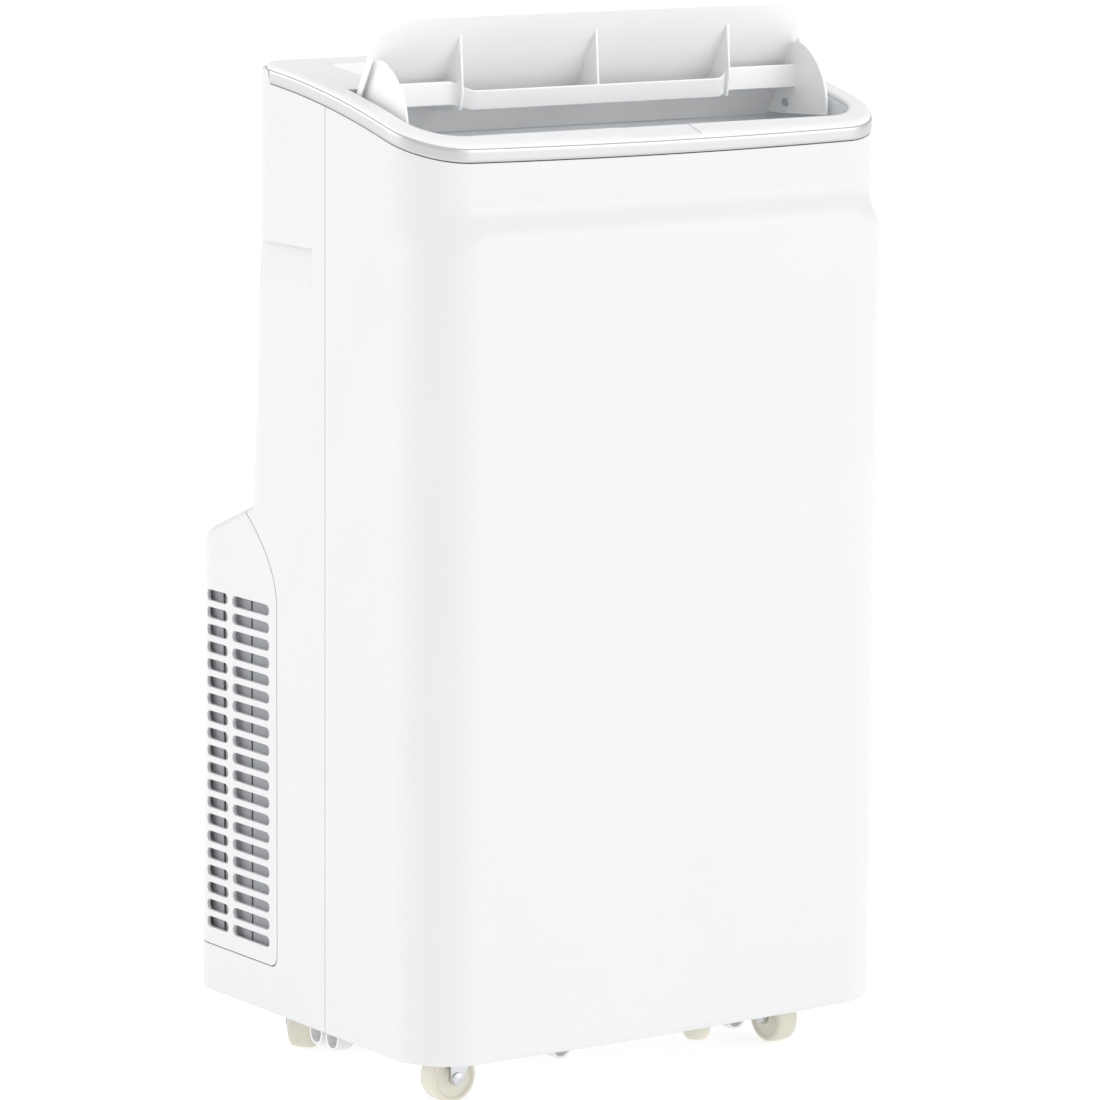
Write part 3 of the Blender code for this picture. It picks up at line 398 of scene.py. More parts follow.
def along(start, direction):
    """Carries z onto a direction, from a start point."""
    return Matrix.Translation(start) @ Vector(direction).to_track_quat("Z", "Y").to_matrix().to_4x4()


def side_view(x_low):
    """Carries an outline of (y, z) pairs into the upright plane at an x, to be extruded along x."""
    return Matrix(((0, 0, 1, x_low), (1, 0, 0, 0), (0, 1, 0, 0), (0, 0, 0, 1)))


def front_view(y_low):
    """Carries an outline of (x, z) pairs into the upright plane at a y, to be extruded back along y."""
    return Matrix(((1, 0, 0, 0), (0, 0, 1, y_low), (0, 1, 0, 0), (0, 0, 0, 1)))


def cut(piece, cutter, operation="DIFFERENCE"):
    modify(piece, "BOOLEAN", operation=operation, solver="MANIFOLD", object=cutter)
    bpy.data.objects.remove(cutter, do_unlink=True)
    return piece


def copy_of(piece, name, matrix=None):
    made = piece.copy()
    made.data = piece.data.copy()
    made.name = made.data.name = name
    bpy.context.scene.collection.objects.link(made)
    if matrix is not None:
        made.data.transform(matrix)
    return made


def joined(pieces, name):
    choose(*pieces)
    bpy.ops.object.join()
    return named(name)


def shaded(piece, degrees=32):
    """Smooth shading between sharp edges, with the large flat faces kept flat."""
    choose(piece)
    bpy.ops.object.shade_smooth_by_angle(angle=math.radians(degrees))
    modify(piece, "WEIGHTED_NORMAL", keep_sharp=True, weight=60)
    return piece


def finished(piece, body, slot, *replaced):
    """Gives a piece its finish and body, and the CAD nodes that it stands for."""
    piece.data.materials.clear()
    piece.data.materials.append(bpy.data.materials[slot])
    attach(piece, body)
    if replaced:
        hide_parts(*replaced)
    return piece


def arc(x, y, radius, first, sweep, steps):
    """Points along an arc round (x, y), from a first angle through a sweep, in degrees."""
    turns = [math.radians(first + sweep * step / steps) for step in range(steps + 1)]
    return [(x + radius * math.cos(a), y + radius * math.sin(a)) for a in turns]


def circle(x, y, radius):
    return arc(x, y, radius, 0, 355, 71)


def rectangle(low_x, low_y, high_x, high_y):
    return [(low_x, low_y), (high_x, low_y), (high_x, high_y), (low_x, high_y)]


def rounded(half_x, half_y, radius):
    """The outline of a rectangle about the origin with rounded corners."""
    points = []
    for side_x, side_y, first in ((1, 1, 0), (-1, 1, 90), (-1, -1, 180), (1, -1, 270)):
        x, y = side_x * (half_x - radius), side_y * (half_y - radius)
        points += arc(x, y, radius, first, 90, 6)
    return points


def stadium(width, height, steps=6):
    """The outline of a slot with round ends."""
    radius = height / 2
    flat = width / 2 - radius
    return arc(flat, 0, radius, -90, 180, steps) + arc(-flat, 0, radius, 90, 180, steps)


# ---------------------------------------------------------------- finishes

def socket(group, name, kind, inward=True, value=None):
    made = group.interface.new_socket(name=name, in_out="INPUT" if inward else "OUTPUT", socket_type=kind)
    if value is not None:
        made.default_value = value


def node(tree, kind, inputs=None, **settings):
    made = tree.nodes.new(kind)
    for key, value in settings.items():
        setattr(made, key, value)
    for key, value in (inputs or {}).items():
        if isinstance(value, bpy.types.NodeSocket):
            tree.links.new(value, made.inputs[key])
        else:
            made.inputs[key].default_value = value
    return made


def calc(tree, operation, *values):
    """A Math node's result."""
    return node(tree, "ShaderNodeMath", dict(enumerate(values)), operation=operation).outputs[0]


def grain_group():
    """Moulded grain: fine pebbling, a slow drift of tone, and uneven gloss."""
    group = bpy.data.node_groups.new("moulded_grain", "ShaderNodeTree")
    socket(group, "Vector", "NodeSocketVector")
    socket(group, "Color", "NodeSocketColor", value=(0.8, 0.8, 0.8, 1))
    socket(group, "Scale", "NodeSocketFloat", value=900.0)
    socket(group, "Drift", "NodeSocketFloat", value=0.03)
    socket(group, "Roughness", "NodeSocketFloat", value=0.4)
    socket(group, "Color", "NodeSocketColor", inward=False)
    socket(group, "Roughness", "NodeSocketFloat", inward=False)
    socket(group, "Height", "NodeSocketFloat", inward=False)
    start = group.nodes.new("NodeGroupInput").outputs
    place = start["Vector"]
    fine = node(
        group, "ShaderNodeTexNoise", {"Vector": place, "Scale": start["Scale"], "Detail": 2.0}
    ).outputs["Fac"]
    slow = node(
        group, "ShaderNodeTexNoise", {"Vector": place, "Scale": 9.0, "Detail": 3.0}
    ).outputs["Fac"]
    tone = calc(group, "SUBTRACT", 1.0, calc(group, "MULTIPLY", slow, start["Drift"]))
    tinted = node(
        group, "ShaderNodeVectorMath", {0: start["Color"], "Scale": tone}, operation="SCALE"
    )
    speck = calc(group, "MULTIPLY_ADD", fine, 0.12, start["Roughness"])
    gloss = calc(group, "MULTIPLY_ADD", slow, 0.08, speck)
    end = group.nodes.new("NodeGroupOutput")
    group.links.new(tinted.outputs[0], end.inputs["Color"])
    group.links.new(gloss, end.inputs["Roughness"])
    group.links.new(fine, end.inputs["Height"])
    return group


def ridge_group():
    """Fine parallel lines along one axis, as on brushed metal, fin stock or a filter's net."""
    group = bpy.data.node_groups.new("fine_lines", "ShaderNodeTree")
    socket(group, "Vector", "NodeSocketVector")
    socket(group, "Lines", "NodeSocketFloat", value=500.0)
    socket(group, "Waver", "NodeSocketFloat", value=0.3)
    socket(group, "Mask", "NodeSocketFloat", inward=False)
    start = group.nodes.new("NodeGroupInput").outputs
    wave = node(
        group,
        "ShaderNodeTexWave",
        {
            "Vector": start["Vector"],
            "Scale": start["Lines"],
            "Distortion": start["Waver"],
            "Detail": 1.0,
        },
        bands_direction="X",
    )
    end = group.nodes.new("NodeGroupOutput")
    group.links.new(wave.outputs["Fac"], end.inputs["Mask"])
    return group


GRAIN_DEPTH = 0.0002
LINE_DEPTH = 0.0004


def new_material(name):
    """An empty finish, in place of any plain one that the frame brought under its name."""
    plain = bpy.data.materials.get(name)
    if plain:
        bpy.data.materials.remove(plain)
    made = bpy.data.materials.new(name)
    made.use_nodes = True
    tree = made.node_tree
    shader = tree.nodes["Principled BSDF"]
    place = node(tree, "ShaderNodeTexCoord").outputs["Object"]
    return tree, shader, place


def relief(tree, shader, height, strength, depth):
    """Raises a finish by a height pattern."""
    bump = node(
        tree, "ShaderNodeBump", {"Strength": strength, "Distance": depth, "Height": height}
    )
    tree.links.new(bump.outputs["Normal"], shader.inputs["Normal"])


def moulded(name, tint, roughness=0.4, scale=900.0, drift=0.03, bump=0.05, **fixed):
    """A grained plastic, paint, metal or rubber.

    What is even all over goes straight to the shader's own sockets.
    """
    tree, shader, place = new_material(name)
    grain = node(tree, "ShaderNodeGroup", node_tree=bpy.data.node_groups["moulded_grain"])
    tree.links.new(place, grain.inputs["Vector"])
    values = {"Color": (*tint, 1), "Scale": scale, "Drift": drift, "Roughness": roughness}
    for key, value in values.items():
        grain.inputs[key].default_value = value
    tree.links.new(grain.outputs["Color"], shader.inputs["Base Color"])
    tree.links.new(grain.outputs["Roughness"], shader.inputs["Roughness"])
    relief(tree, shader, grain.outputs["Height"], bump, GRAIN_DEPTH)
    for key, value in fixed.items():
        shader.inputs[key.replace("_", " ").title()].default_value = value
    return tree, shader, place


def lined(name, tint, roughness, lines, bump, **fixed):
    """A finish with fine lines in place of the grain's relief."""
    tree, shader, place = moulded(name, tint, roughness, **fixed)
    ridges = node(tree, "ShaderNodeGroup", node_tree=bpy.data.node_groups["fine_lines"])
    tree.links.new(place, ridges.inputs["Vector"])
    ridges.inputs["Lines"].default_value = lines
    relief(tree, shader, ridges.outputs["Mask"], bump, LINE_DEPTH)


class AIRCON_OT_finishes(bpy.types.Operator):
    """Makes every finish and puts them on the frame's own nodes"""

    bl_idname = "aircon.finishes"
    bl_label = "Finishes"

    def execute(self, context):
        tints = context.scene.aircon_finishes
        grain_group()
        ridge_group()
        satin = {"roughness": 0.36, "coat_weight": 0.12, "coat_roughness": 0.25}
        moulded("cabinet_plastic", tints.white, **satin)
        # top_plastic is a lighter copy of the cabinet plastic: painted light on the deck
        moulded("top_plastic", tints.top_white_painted_light, **satin)
        moulded("grille_plastic", tints.white, **satin)
        # Painted light: flap_plastic and button_plastic take the lightened flap white, brighter than the cabinet
        # white of the same plastic
        moulded("flap_plastic", tints.flap_white_painted_light, 0.34, coat_weight=0.1, coat_roughness=0.3)
        moulded("button_plastic", tints.flap_white_painted_light, 0.3, coat_weight=0.2, coat_roughness=0.2)
        moulded("silver_band", tints.silver, 0.24, scale=1600.0, bump=0.02, metallic=0.85)
        moulded("duct_plastic", tints.duct_grey, 0.45, drift=0.06)
        moulded("inner_plastic", tints.inner_grey, 0.5, drift=0.08)
        moulded("dark_plastic", (0.02, 0.02, 0.023), 0.25, coat_weight=0.4)
        moulded(
            "display_glass", (0.012, 0.014, 0.018), 0.06,
            bump=0.0, coat_weight=0.8, coat_roughness=0.04,
        )
        moulded(
            "cream_nylon", tints.nylon, 0.28,
            drift=0.08, subsurface_weight=0.25, subsurface_scale=0.004,
        )
        moulded("fan_plastic", (0.03, 0.03, 0.034), 0.5)
        lined("zinc_steel", tints.zinc, 0.26, 700.0, 0.05, metallic=0.95, drift=0.12)
        lined("aluminium_fins", tints.fin, 0.35, 380.0, 0.6, metallic=0.6, drift=0.15)
        moulded("copper_pipe", (0.55, 0.24, 0.13), 0.26, drift=0.25, metallic=0.95)
        moulded("black_paint", (0.018, 0.018, 0.02), 0.34, scale=500.0, bump=0.12, coat_weight=0.2)
        moulded("foot_rubber", (0.02, 0.02, 0.02), 0.75, scale=600.0, bump=0.2)
        lined("filter_mesh", (0.38, 0.39, 0.41), 0.7, 500.0, 0.5)
        slots = {part["node"]: part["material_slot"] for part in FRAME["record"]["subparts"]}
        for name, piece in FRAME["nodes"].items():
            piece.data.materials.clear()
            piece.data.materials.append(bpy.data.materials[slots[name]])
        return {"FINISHED"}


# ---------------------------------------------------------------- cabinet

NET_STRIPS = ((0.0445, 0.088), (0.0905, 0.128), (0.1315, 0.1480))
NET_LOW_Z = 0.088
NET_HIGH_Z = 0.372
GRIP_ROWS = (-0.05, 0, 0.08, 0.18, 0.28, 0.38, 0.48, 0.56, 0.75, 0.975)
GRILLE_FOOT_Z = 80 * MM
GRILLE_TOP_Z = 436 * MM
GRILLE_CORNER = 9 * MM
SIDE_SLOTS = ((53.1, 107.1), (113.6, 145.6))
BACK_SLOT_X = 90 * MM
BACK_SLOT_WIDTH = 0.17
INTAKE_X = -82.5 * MM
INTAKE_LOW_Z = 480.75 * MM
INTAKE_WIDTH = 0.185
EXHAUST_HOLE = 64 * MM
SMALL_HOLE = 7.4 * MM
UPPER_CUT_Y = 0.06
LOWER_CUT_Y = 0.14
BASE_LEVELS = ((42.0, 3.0), (42.5, 1.9), (43.3, 1.1), (44.5, 0.45), (46.0, 0.1), (48.0, 0.0))


class AIRCON_OT_front_shell(bpy.types.Operator):
    """Lays the bowed front with its shoulder and gives it a wall"""

    bl_idname = "aircon.front_shell"
    bl_label = "Front shell"

    def execute(self, context):
        rows = [front_row(z * MM, inset * MM) for z, inset in BASE_LEVELS]
        rows += [front_row(z * MM, 0) for z in (120, 240, 360, 480, 600)]
        rows += [front_row(z * MM, 0) for z in range(636, 696, 2)]
        rows += [front_row(696 * MM, 0, BAND_FOOT, rise) for rise in (0.25, 0.5, 0.75, 0.92, 1)]
        shell = laid_grid("cabinet_front", rows)
        walled(shell)
        eased(shell, 0.5 * MM, 50)
        finished(shaded(shell), "cabinet", "cabinet_plastic", "front_shell")
        return {"FINISHED"}


def rear_skin(name):
    """The whole back with its hump and its hand grips, as a walled shell."""
    low, high = GRIP_HEIGHTS
    grips = [low + (high - low) * share for share in GRIP_ROWS]
    rows = [rear_row(z * MM, inset * MM) for z, inset in BASE_LEVELS]
    rows += [rear_row(z * MM, 0) for z in (70, 160, 250, 340)]
    rows += [rear_row(z * MM, 0) for z in range(397, 450, 2)]
    rows += [rear_row(z * MM, 0) for z in (470, 540)]
    rows += [rear_row(z, 0) for z in grips]
    rows += [rear_row(high + 0.02 * MM, 0), rear_row(high + 4 * MM, 0)]
    rows += [rear_row(690 * MM, 0, rise) for rise in (0, 0.3, 0.6, 0.9, 1)]
    shell = laid_grid(name, rows)
    edit(shell)
    bpy.ops.mesh.flip_normals()
    bpy.ops.object.mode_set(mode="OBJECT")
    walled(shell)
    return shell


def grille_region(name, margin):
    """A side view of the slotted panel, as a block across the whole cabinet."""
    front, foot, top = GRILLE_FRONT_Y + margin, GRILLE_FOOT_Z + margin, GRILLE_TOP_Z - margin
    sweep = []
    for step in range(13):
        share = 1 - step / 12
        sweep.append((front + 41 * MM * share ** 1.9, (366 + 64 * share) * MM - 0.5 * margin))
    corner = arc(front + GRILLE_CORNER, foot + GRILLE_CORNER, GRILLE_CORNER, 180, 90, 6)
    outline = [(0.3, top), (BACK_LINE[2][1] * MM + margin, top)] + sweep + corner + [(0.3, foot)]
    return prism(name, outline, ACROSS, side_view(-ACROSS / 2))


def slot_cutters():
    """All the panel's slots: two columns on each side and two across the back."""
    sizes = bpy.context.scene.aircon_grille
    columns = []
    for near, far in SIDE_SLOTS:
        outline = stadium((far - near) * MM, sizes.slot)
        centre = Vector((0, (near + far) / 2 * MM, sizes.low))
        place = Matrix.Translation(centre) @ side_view(-ACROSS / 2)
        columns.append(prism("slot", outline, ACROSS, place))
    for x in (-BACK_SLOT_X, BACK_SLOT_X):
        place = Matrix.Translation((x, 0.15, sizes.low)) @ front_view(0)
        columns.append(prism("slot", stadium(BACK_SLOT_WIDTH, sizes.slot), 0.05, place))
    made = []
    for row in range(sizes.rows):
        lift = Matrix.Translation((0, 0, row * sizes.pitch))
        made += [copy_of(column, "slot", lift) for column in columns]
    for column in columns:
        bpy.data.objects.remove(column, do_unlink=True)
    return joined(made, "slots")


class AIRCON_OT_rear_shell(bpy.types.Operator):
    """Makes the back with its grips, intake and exhaust hole, and the slotted panel set into it"""

    bl_idname = "aircon.rear_shell"
    bl_label = "Rear shell and grille"

    def execute(self, context):
        sizes = context.scene.aircon_grille
        shell = rear_skin("cabinet_rear")
        panel = copy_of(shell, "slotted_panel")
        cut(panel, grille_region("panel_region", 0.9 * MM), "INTERSECT")
        cut(panel, slot_cutters())
        eased(panel, 0.35 * MM, 60)
        finished(shaded(panel), "cabinet", "grille_plastic", "rear_grille")

        for side, label in ((-1, "left"), (1, "right")):
            for number, (near, far) in enumerate(NET_STRIPS):
                low = side * sizes.net_x - 0.5 * MM
                strip = rectangle(near, NET_LOW_Z, far, NET_HIGH_Z)
                net = prism(f"filter_net_{label}_{number + 1}", strip, 1 * MM, side_view(low))
                finished(shaded(net), "cabinet", "filter_mesh")

        cut(shell, grille_region("panel_opening", 0))
        slots = []
        for row in range(sizes.intake_rows):
            centre = Vector((INTAKE_X, UPPER_CUT_Y, INTAKE_LOW_Z + row * sizes.intake_pitch))
            place = Matrix.Translation(centre) @ front_view(0)
            outline = stadium(INTAKE_WIDTH, sizes.intake_pitch / 2)
            slots.append(prism("slot", outline, 0.05, place))
        cut(shell, joined(slots, "intake"))
        hole = circle(EXHAUST.x, EXHAUST.z, EXHAUST_HOLE)
        cut(shell, prism("exhaust_hole", hole, 0.06, front_view(UPPER_CUT_Y)))
        for name in ("cord_gland", "rear_drain_cap"):
            low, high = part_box(name)
            middle = (low + high) / 2
            small = circle(middle.x, middle.z, SMALL_HOLE)
            cut(shell, prism("small_hole", small, 0.06, front_view(LOWER_CUT_Y)))
        eased(shell, 0.4 * MM, 50)
        finished(shaded(shell), "cabinet", "cabinet_plastic", "rear_shell")
        return {"FINISHED"}


OPENING_FRONT_Y = -0.1404
OPENING_REAR_Y = -0.0319
TOP_CENTRE = (0, -86 * MM)
RAYS = 480
RECESS_HALF_WIDTH = 0.1702
NOTCH_HALF_WIDTH = 0.032
NOTCH_FRONT_Y = -0.18
NOTCH_MIDDLE_Y = -0.149
NOTCH_REAR_Y = -0.1294
NOTCH_DEPTH = 1.2 * MM

# Pairs in millimetres: in from the wall or out from the opening, then down from the deck
TOP_EDGE_ROUND = (
    (0.6, 3.7), (0.7, 2.9), (1.1, 1.9), (1.8, 1.1), (2.8, 0.45), (4.2, 0.1), (6.0, 0.0)
)
OPENING_ROUND = (
    (4.0, 0.0), (2.6, 0.08), (1.5, 0.4), (0.7, 0.95), (0.2, 1.7), (0.0, 2.6), (0.0, 3.7)
)
BAND_SECTION = (
    (2.6, 3.8), (0.3, 3.8), (-0.15, 4.1), (-0.45, 4.9), (-0.5, 6.2),
    (-0.5, 11.4), (-0.45, 12.2), (-0.05, 13.3), (0.5, 13.9), (2.6, 13.9),
)


def deck_outline(inset):
    """The top's outline seen from above, closed, without heights."""
    front = front_row(0.76, inset)
    rear = rear_row(0.777, inset)
    return [(x, y) for x, y, _ in front] + [(x, y) for x, y, _ in reversed(rear)]


def opening_outline(grow):
    """The air outlet's outline, with rounded front corners."""
    sizes = bpy.context.scene.aircon_outlet
    half = sizes.half_width + grow
    front, rear = OPENING_FRONT_Y - grow, OPENING_REAR_Y + grow
    radius, small = sizes.radius + grow, 3 * MM + grow
    points = []
    corners = (
        (-half + radius, front + radius, radius, 180),
        (half - radius, front + radius, radius, 270),
        (half - small, rear - small, small, 0),
        (-half + small, rear - small, small, 90),
    )
    for x, y, reach, first in corners:
        points += arc(x, y, reach, first, 90, 18)
    return points


def ray_ring(outline, angles, centre):
    """Where rays from a centre cross a closed outline."""
    found = []
    edges = list(zip(outline, outline[1:] + outline[:1]))
    for angle in angles:
        dx, dy = math.cos(angle), math.sin(angle)
        best = None
        for (ax, ay), (bx, by) in edges:
            ex, ey = bx - ax, by - ay
            across = dx * ey - dy * ex
            if abs(across) < 1e-12:
                continue
            px, py = ax - centre[0], ay - centre[1]
            reach = (px * ey - py * ex) / across
            share = (px * dy - py * dx) / across
            if reach > 0 and -1e-6 <= share <= 1 + 1e-6 and (best is None or reach < best):
                best = reach
        found.append((centre[0] + best * dx, centre[1] + best * dy))
    return found


class AIRCON_OT_top(bpy.types.Operator):
    """Lays the top panel round the outlet, with a recess for the controls, and the silver band"""

    bl_idname = "aircon.top"
    bl_label = "Top panel and band"

    def execute(self, context):
        angles = [2 * math.pi * (step + 0.5) / RAYS for step in range(RAYS)]

        def ring_of(outline, drop):
            return ray_ring(outline, angles, TOP_CENTRE), drop * MM

        outer = [ring_of(deck_outline(inset * MM), drop) for inset, drop in TOP_EDGE_ROUND]
        inner = [ring_of(opening_outline(grow * MM), drop) for grow, drop in OPENING_ROUND]
        between = []
        for step in range(1, 7):
            share = step / 7
            ring = [
                (ax + (bx - ax) * share, ay + (by - ay) * share)
                for (ax, ay), (bx, by) in zip(outer[-1][0], inner[0][0])
            ]
            between.append((ring, 0.0))
        rings = outer + between + inner + outer[:1]
        rows = [[(x, y, deck_z(y, drop)) for x, y in ring] for ring, drop in rings]
        panel = laid_grid("top_cover", rows, closed=True)
        low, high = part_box("control_fascia")
        recess = rectangle(-RECESS_HALF_WIDTH, low.y - FIT, RECESS_HALF_WIDTH, high.y + FIT)
        cut(panel, prism("recess", recess, 0.2, Matrix.Translation((0, 0, 0.7))))
        notch = rectangle(-NOTCH_HALF_WIDTH, NOTCH_FRONT_Y, NOTCH_HALF_WIDTH, NOTCH_REAR_Y)
        lowered = Matrix.Translation((0, 0, deck_z(NOTCH_MIDDLE_Y, NOTCH_DEPTH)))
        lowered[2][1] = DECK_SLOPE
        lowered[2][3] -= NOTCH_MIDDLE_Y * DECK_SLOPE
        cut(panel, prism("finger_notch", notch, 0.05, lowered))
        swing = circle(PIVOT.y, PIVOT.z, FLAP_SWING)
        half = context.scene.aircon_outlet.half_width
        cut(panel, prism("flap_swing", swing, 2 * half, side_view(-half)))
        eased(panel, 0.3 * MM, 50)
        finished(shaded(panel), "cabinet", "cabinet_plastic", "top_panel")
        # The top panel takes the lighter top white, which is painted light on the deck
        panel.data.materials[0] = bpy.data.materials["top_plastic"]

        lines = []
        for inset, drop in BAND_SECTION:
            front = front_row(0.76, inset * MM)
            x, span = -HALF_WIDTH + inset * MM, BAND_END_Y - SEAM_Y
            wing = [(x, BAND_END_Y - share * span, 0) for share in (0, 0.02, 0.25, 0.5, 0.75)]
            whole = wing + front + [(-x, y, z) for x, y, z in reversed(wing)]
            lines.append([(x, y, deck_z(y, drop * MM)) for x, y, _ in whole])
        rows = [list(points) for points in zip(*lines)]
        band = laid_grid("silver_trim", rows, closed=True, capped=True)
        finished(shaded(band, 20), "cabinet", "silver_band", "trim_band")
        return {"FINISHED"}


# Profiles here and below are (radius, height) pairs in millimetres
BUTTON_HOLE = ((0, 10), (6.9, 10), (6.9, -10), (0, -10))
BUTTON_PROFILE = (
    (0, 3.25), (3, 3.3), (5.2, 3.6), (5.9, 3.65), (6.3, 3.4), (6.5, 2.9), (6.5, -2.0), (0, -2.0)
)


class AIRCON_OT_controls(bpy.types.Operator):
    """Makes the control fascia, its display and its round buttons"""

    bl_idname = "aircon.controls"
    bl_label = "Controls"

    def execute(self, context):
        low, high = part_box("control_fascia")
        middle = (low.y + high.y) / 2
        slope = (deck_z(high.y) - deck_z(low.y)) / (high.y - low.y)
        lean = math.atan(slope)
        tilt = Matrix.Translation((0, middle, deck_z(middle, 2.6 * MM)))
        tilt = tilt @ Matrix.Rotation(lean, 4, "X")
        outline = rounded(high.x, (high.y - low.y) / 2, 3 * MM)
        fascia = prism("control_cover", outline, 2.4 * MM, tilt, 0.5 * MM)
        screen_low, screen_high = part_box("display_window")
        half_x = (screen_high.x - screen_low.x) / 2
        half_y = (screen_high.y - screen_low.y) / 2
        outline = rounded(half_x + FIT, half_y + FIT, 2 * MM)
        below = tilt @ Matrix.Translation((0, 0, -0.01))
        cut(fascia, prism("screen_hole", outline, 0.02, below))
        for name in BUTTONS:
            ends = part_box(f"{name}_button")
            spot = (ends[0] + ends[1]) / 2
            place = tilt @ Matrix.Translation((spot.x, (spot.y - middle) / math.cos(lean), 0))
            cut(fascia, lathe("button_hole", BUTTON_HOLE, place))
            button = lathe(f"{name}_key", BUTTON_PROFILE, place)
            finished(shaded(button), f"{name}_button", "button_plastic", f"{name}_button")
        # The fascia takes the lightened flap white: painted light, not a whiter part
        finished(shaded(fascia), "cabinet", "flap_plastic", "control_fascia")
        outline = rounded(half_x, half_y, 1.8 * MM)
        window = prism("display_cover", outline, 2.3 * MM, tilt, 0.3 * MM)
        finished(shaded(window), "cabinet", "display_glass", "display_window")
        return {"FINISHED"}


# ---------------------------------------------------------------- flap

LEAN = math.radians(28.7)
FLAP_FOOT = Vector((0, -21.4, 731)) * MM
FLAP_UP = Vector((0, -math.sin(LEAN), math.cos(LEAN)))
FLAP_OUT = Vector((0, -math.cos(LEAN), -math.sin(LEAN)))
VANE_RADIUS = 1.2


def plate_point(reach, out=0.0):
    """A point (y, z) on the flap, in millimetres along the plate from its foot and out from it."""
    spot = FLAP_FOOT + FLAP_UP * reach * MM + FLAP_OUT * out * MM
    return (spot.y, spot.z)


def plate_frame():
    """Carries a flat outline (x, along the plate) onto the plate, to be extruded towards its inner face."""
    return Matrix((
        (1, 0, 0, 0),
        (0, FLAP_UP.y, FLAP_OUT.y, FLAP_FOOT.y),
        (0, FLAP_UP.z, FLAP_OUT.z, FLAP_FOOT.z),
        (0, 0, 0, 1),
    ))


class AIRCON_OT_flap(bpy.types.Operator):
    """Makes the flap: plate, side lips, cheeks, ribs and the cross vane"""

    bl_idname = "aircon.flap"
    bl_label = "Outlet flap"

    def execute(self, context):
        sizes = context.scene.aircon_outlet
        half, reach, corner = sizes.flap_half_width, sizes.flap_length, sizes.flap_corner
        outline = [(-half, 0), (half, 0)]
        for centre, first in ((half - corner, 0), (-half + corner, 90)):
            outline += arc(centre, reach - corner, corner, first, 90, 18)
        plate = prism("flap_plate", outline, sizes.plate, plate_frame(), 1.1 * MM, 4)
        # The plate, cheeks, lips, ribs and vane all take the lightened flap white, which is painted light
        finished(shaded(plate), "flap", "flap_plastic", "outlet_flap")

        cheek = [plate_point(2, 1), plate_point(66, 1)]
        cheek += arc(PIVOT.y, PIVOT.z, sizes.cheek_radius, 106, 82, 24)
        cheek.append((PIVOT.y + 3 * MM, PIVOT.z - 9.5 * MM))
        lip = [plate_point(1, 1), plate_point(74, 1), plate_point(70, 6.5), plate_point(4, 6.5)]
        for side, label in ((-1, "left"), (1, "right")):
            low = 194 * MM if side > 0 else -196.5 * MM
            wall = prism(f"flap_cheek_{label}", cheek, 2.5 * MM, side_view(low), 0.8 * MM)
            finished(shaded(wall), "flap", "flap_plastic")
            low = 199.3 * MM if side > 0 else -200.9 * MM
            edge = prism(f"flap_lip_{label}", lip, 1.6 * MM, side_view(low), 0.5 * MM)
            finished(shaded(edge), "flap", "flap_plastic")

        rib = [plate_point(91, 1), (-69.4 * MM, 765 * MM), (-66.4 * MM, 750 * MM), plate_point(20, 1)]
        for number, x in enumerate((-125.5, -1, 123.5)):
            fin = prism(f"flap_rib_{number + 1}", rib, 2 * MM, side_view(x * MM), 0.5 * MM)
            finished(shaded(fin), "flap", "flap_plastic")

        stops = [-195.2, -160, -136, *range(-132, -118, 2), -117, -114, -111, -60, 0]
        stops += [-x for x in reversed(stops[:-1])]
        rows = []
        for x in stops:
            share = 1 - smooth_step(abs(x), 113, 132)
            top = Vector((-60.4 - 9 * share, 772 - 7 * share))
            bottom = Vector((-60.4 - 6 * share, 754 - 4 * share))
            down = (bottom - top).normalized()
            out = Vector((down.y, -down.x)) * VANE_RADIUS
            ring = []
            for end, way in ((top, 1), (bottom, -1)):
                for turn in (-90, -45, 0, 45, 90):
                    angle = math.radians(turn)
                    lift = -down * math.cos(angle) * VANE_RADIUS + out * math.sin(angle)
                    ring.append(end + (down * VANE_RADIUS + lift) * way)
            rows.append([(x * MM, spot.x * MM, spot.y * MM) for spot in ring])
        blade = laid_grid("flap_vane", rows, closed=True, capped=True)
        finished(shaded(blade, 40), "flap", "flap_plastic")
        return {"FINISHED"}


# ---------------------------------------------------------------- casters and fittings

WHEEL_HALF = (
    (2.8, 9.5), (6.4, 9.5), (7.2, 9.1), (8.2, 7.7), (9.5, 7.4), (14.6, 7.4),
    (15.8, 8.0), (16.6, 9.2), (17.6, 9.5), (18.8, 9.1), (19.6, 8.0),
)
POST = ((0, 57), (4.2, 57), (5, 56.2), (5, 43), (0, 43))
BOLT = (
    (0, 15), (2.6, 15), (4.6, 14.3), (4.9, 13.2), (2.5, 13.2), (2.5, -13.2),
    (4.3, -13.2), (4.3, -15), (3.2, -15), (2.9, -14), (0, -14),
)
COLLAR = (
    (59, 25.4), (59.6, 26), (61.4, 26), (62, 25.4), (62, 20), (63.2, 19.4), (63.2, 18), (62, 17.4),
    (62, 6.4), (69.4, 6), (70, 5.4), (70, 4.4), (69.4, 4.02), (62, 4), (62, -20), (59, -20),
    (59, 25.4),
)
STOPPER = (
    (0, 60), (5.6, 60), (6, 59.6), (6, 51.5), (10.6, 51.5), (11, 51.1),
    (11, 33), (10.4, 30.5), (8.6, 27), (7.6, 26.1), (0, 26),
)
# The name of the piece, its finish and the radius of its bore in millimetres
CAPS = {
    "cord_gland": ("lead_inlet", "dark_plastic", 4.0),
    "rear_drain_cap": ("rear_drain_plug", "cream_nylon", 0.0),
}
LEG_TOP_Z = 43.6 * MM
LEG_END = 5.5 * MM


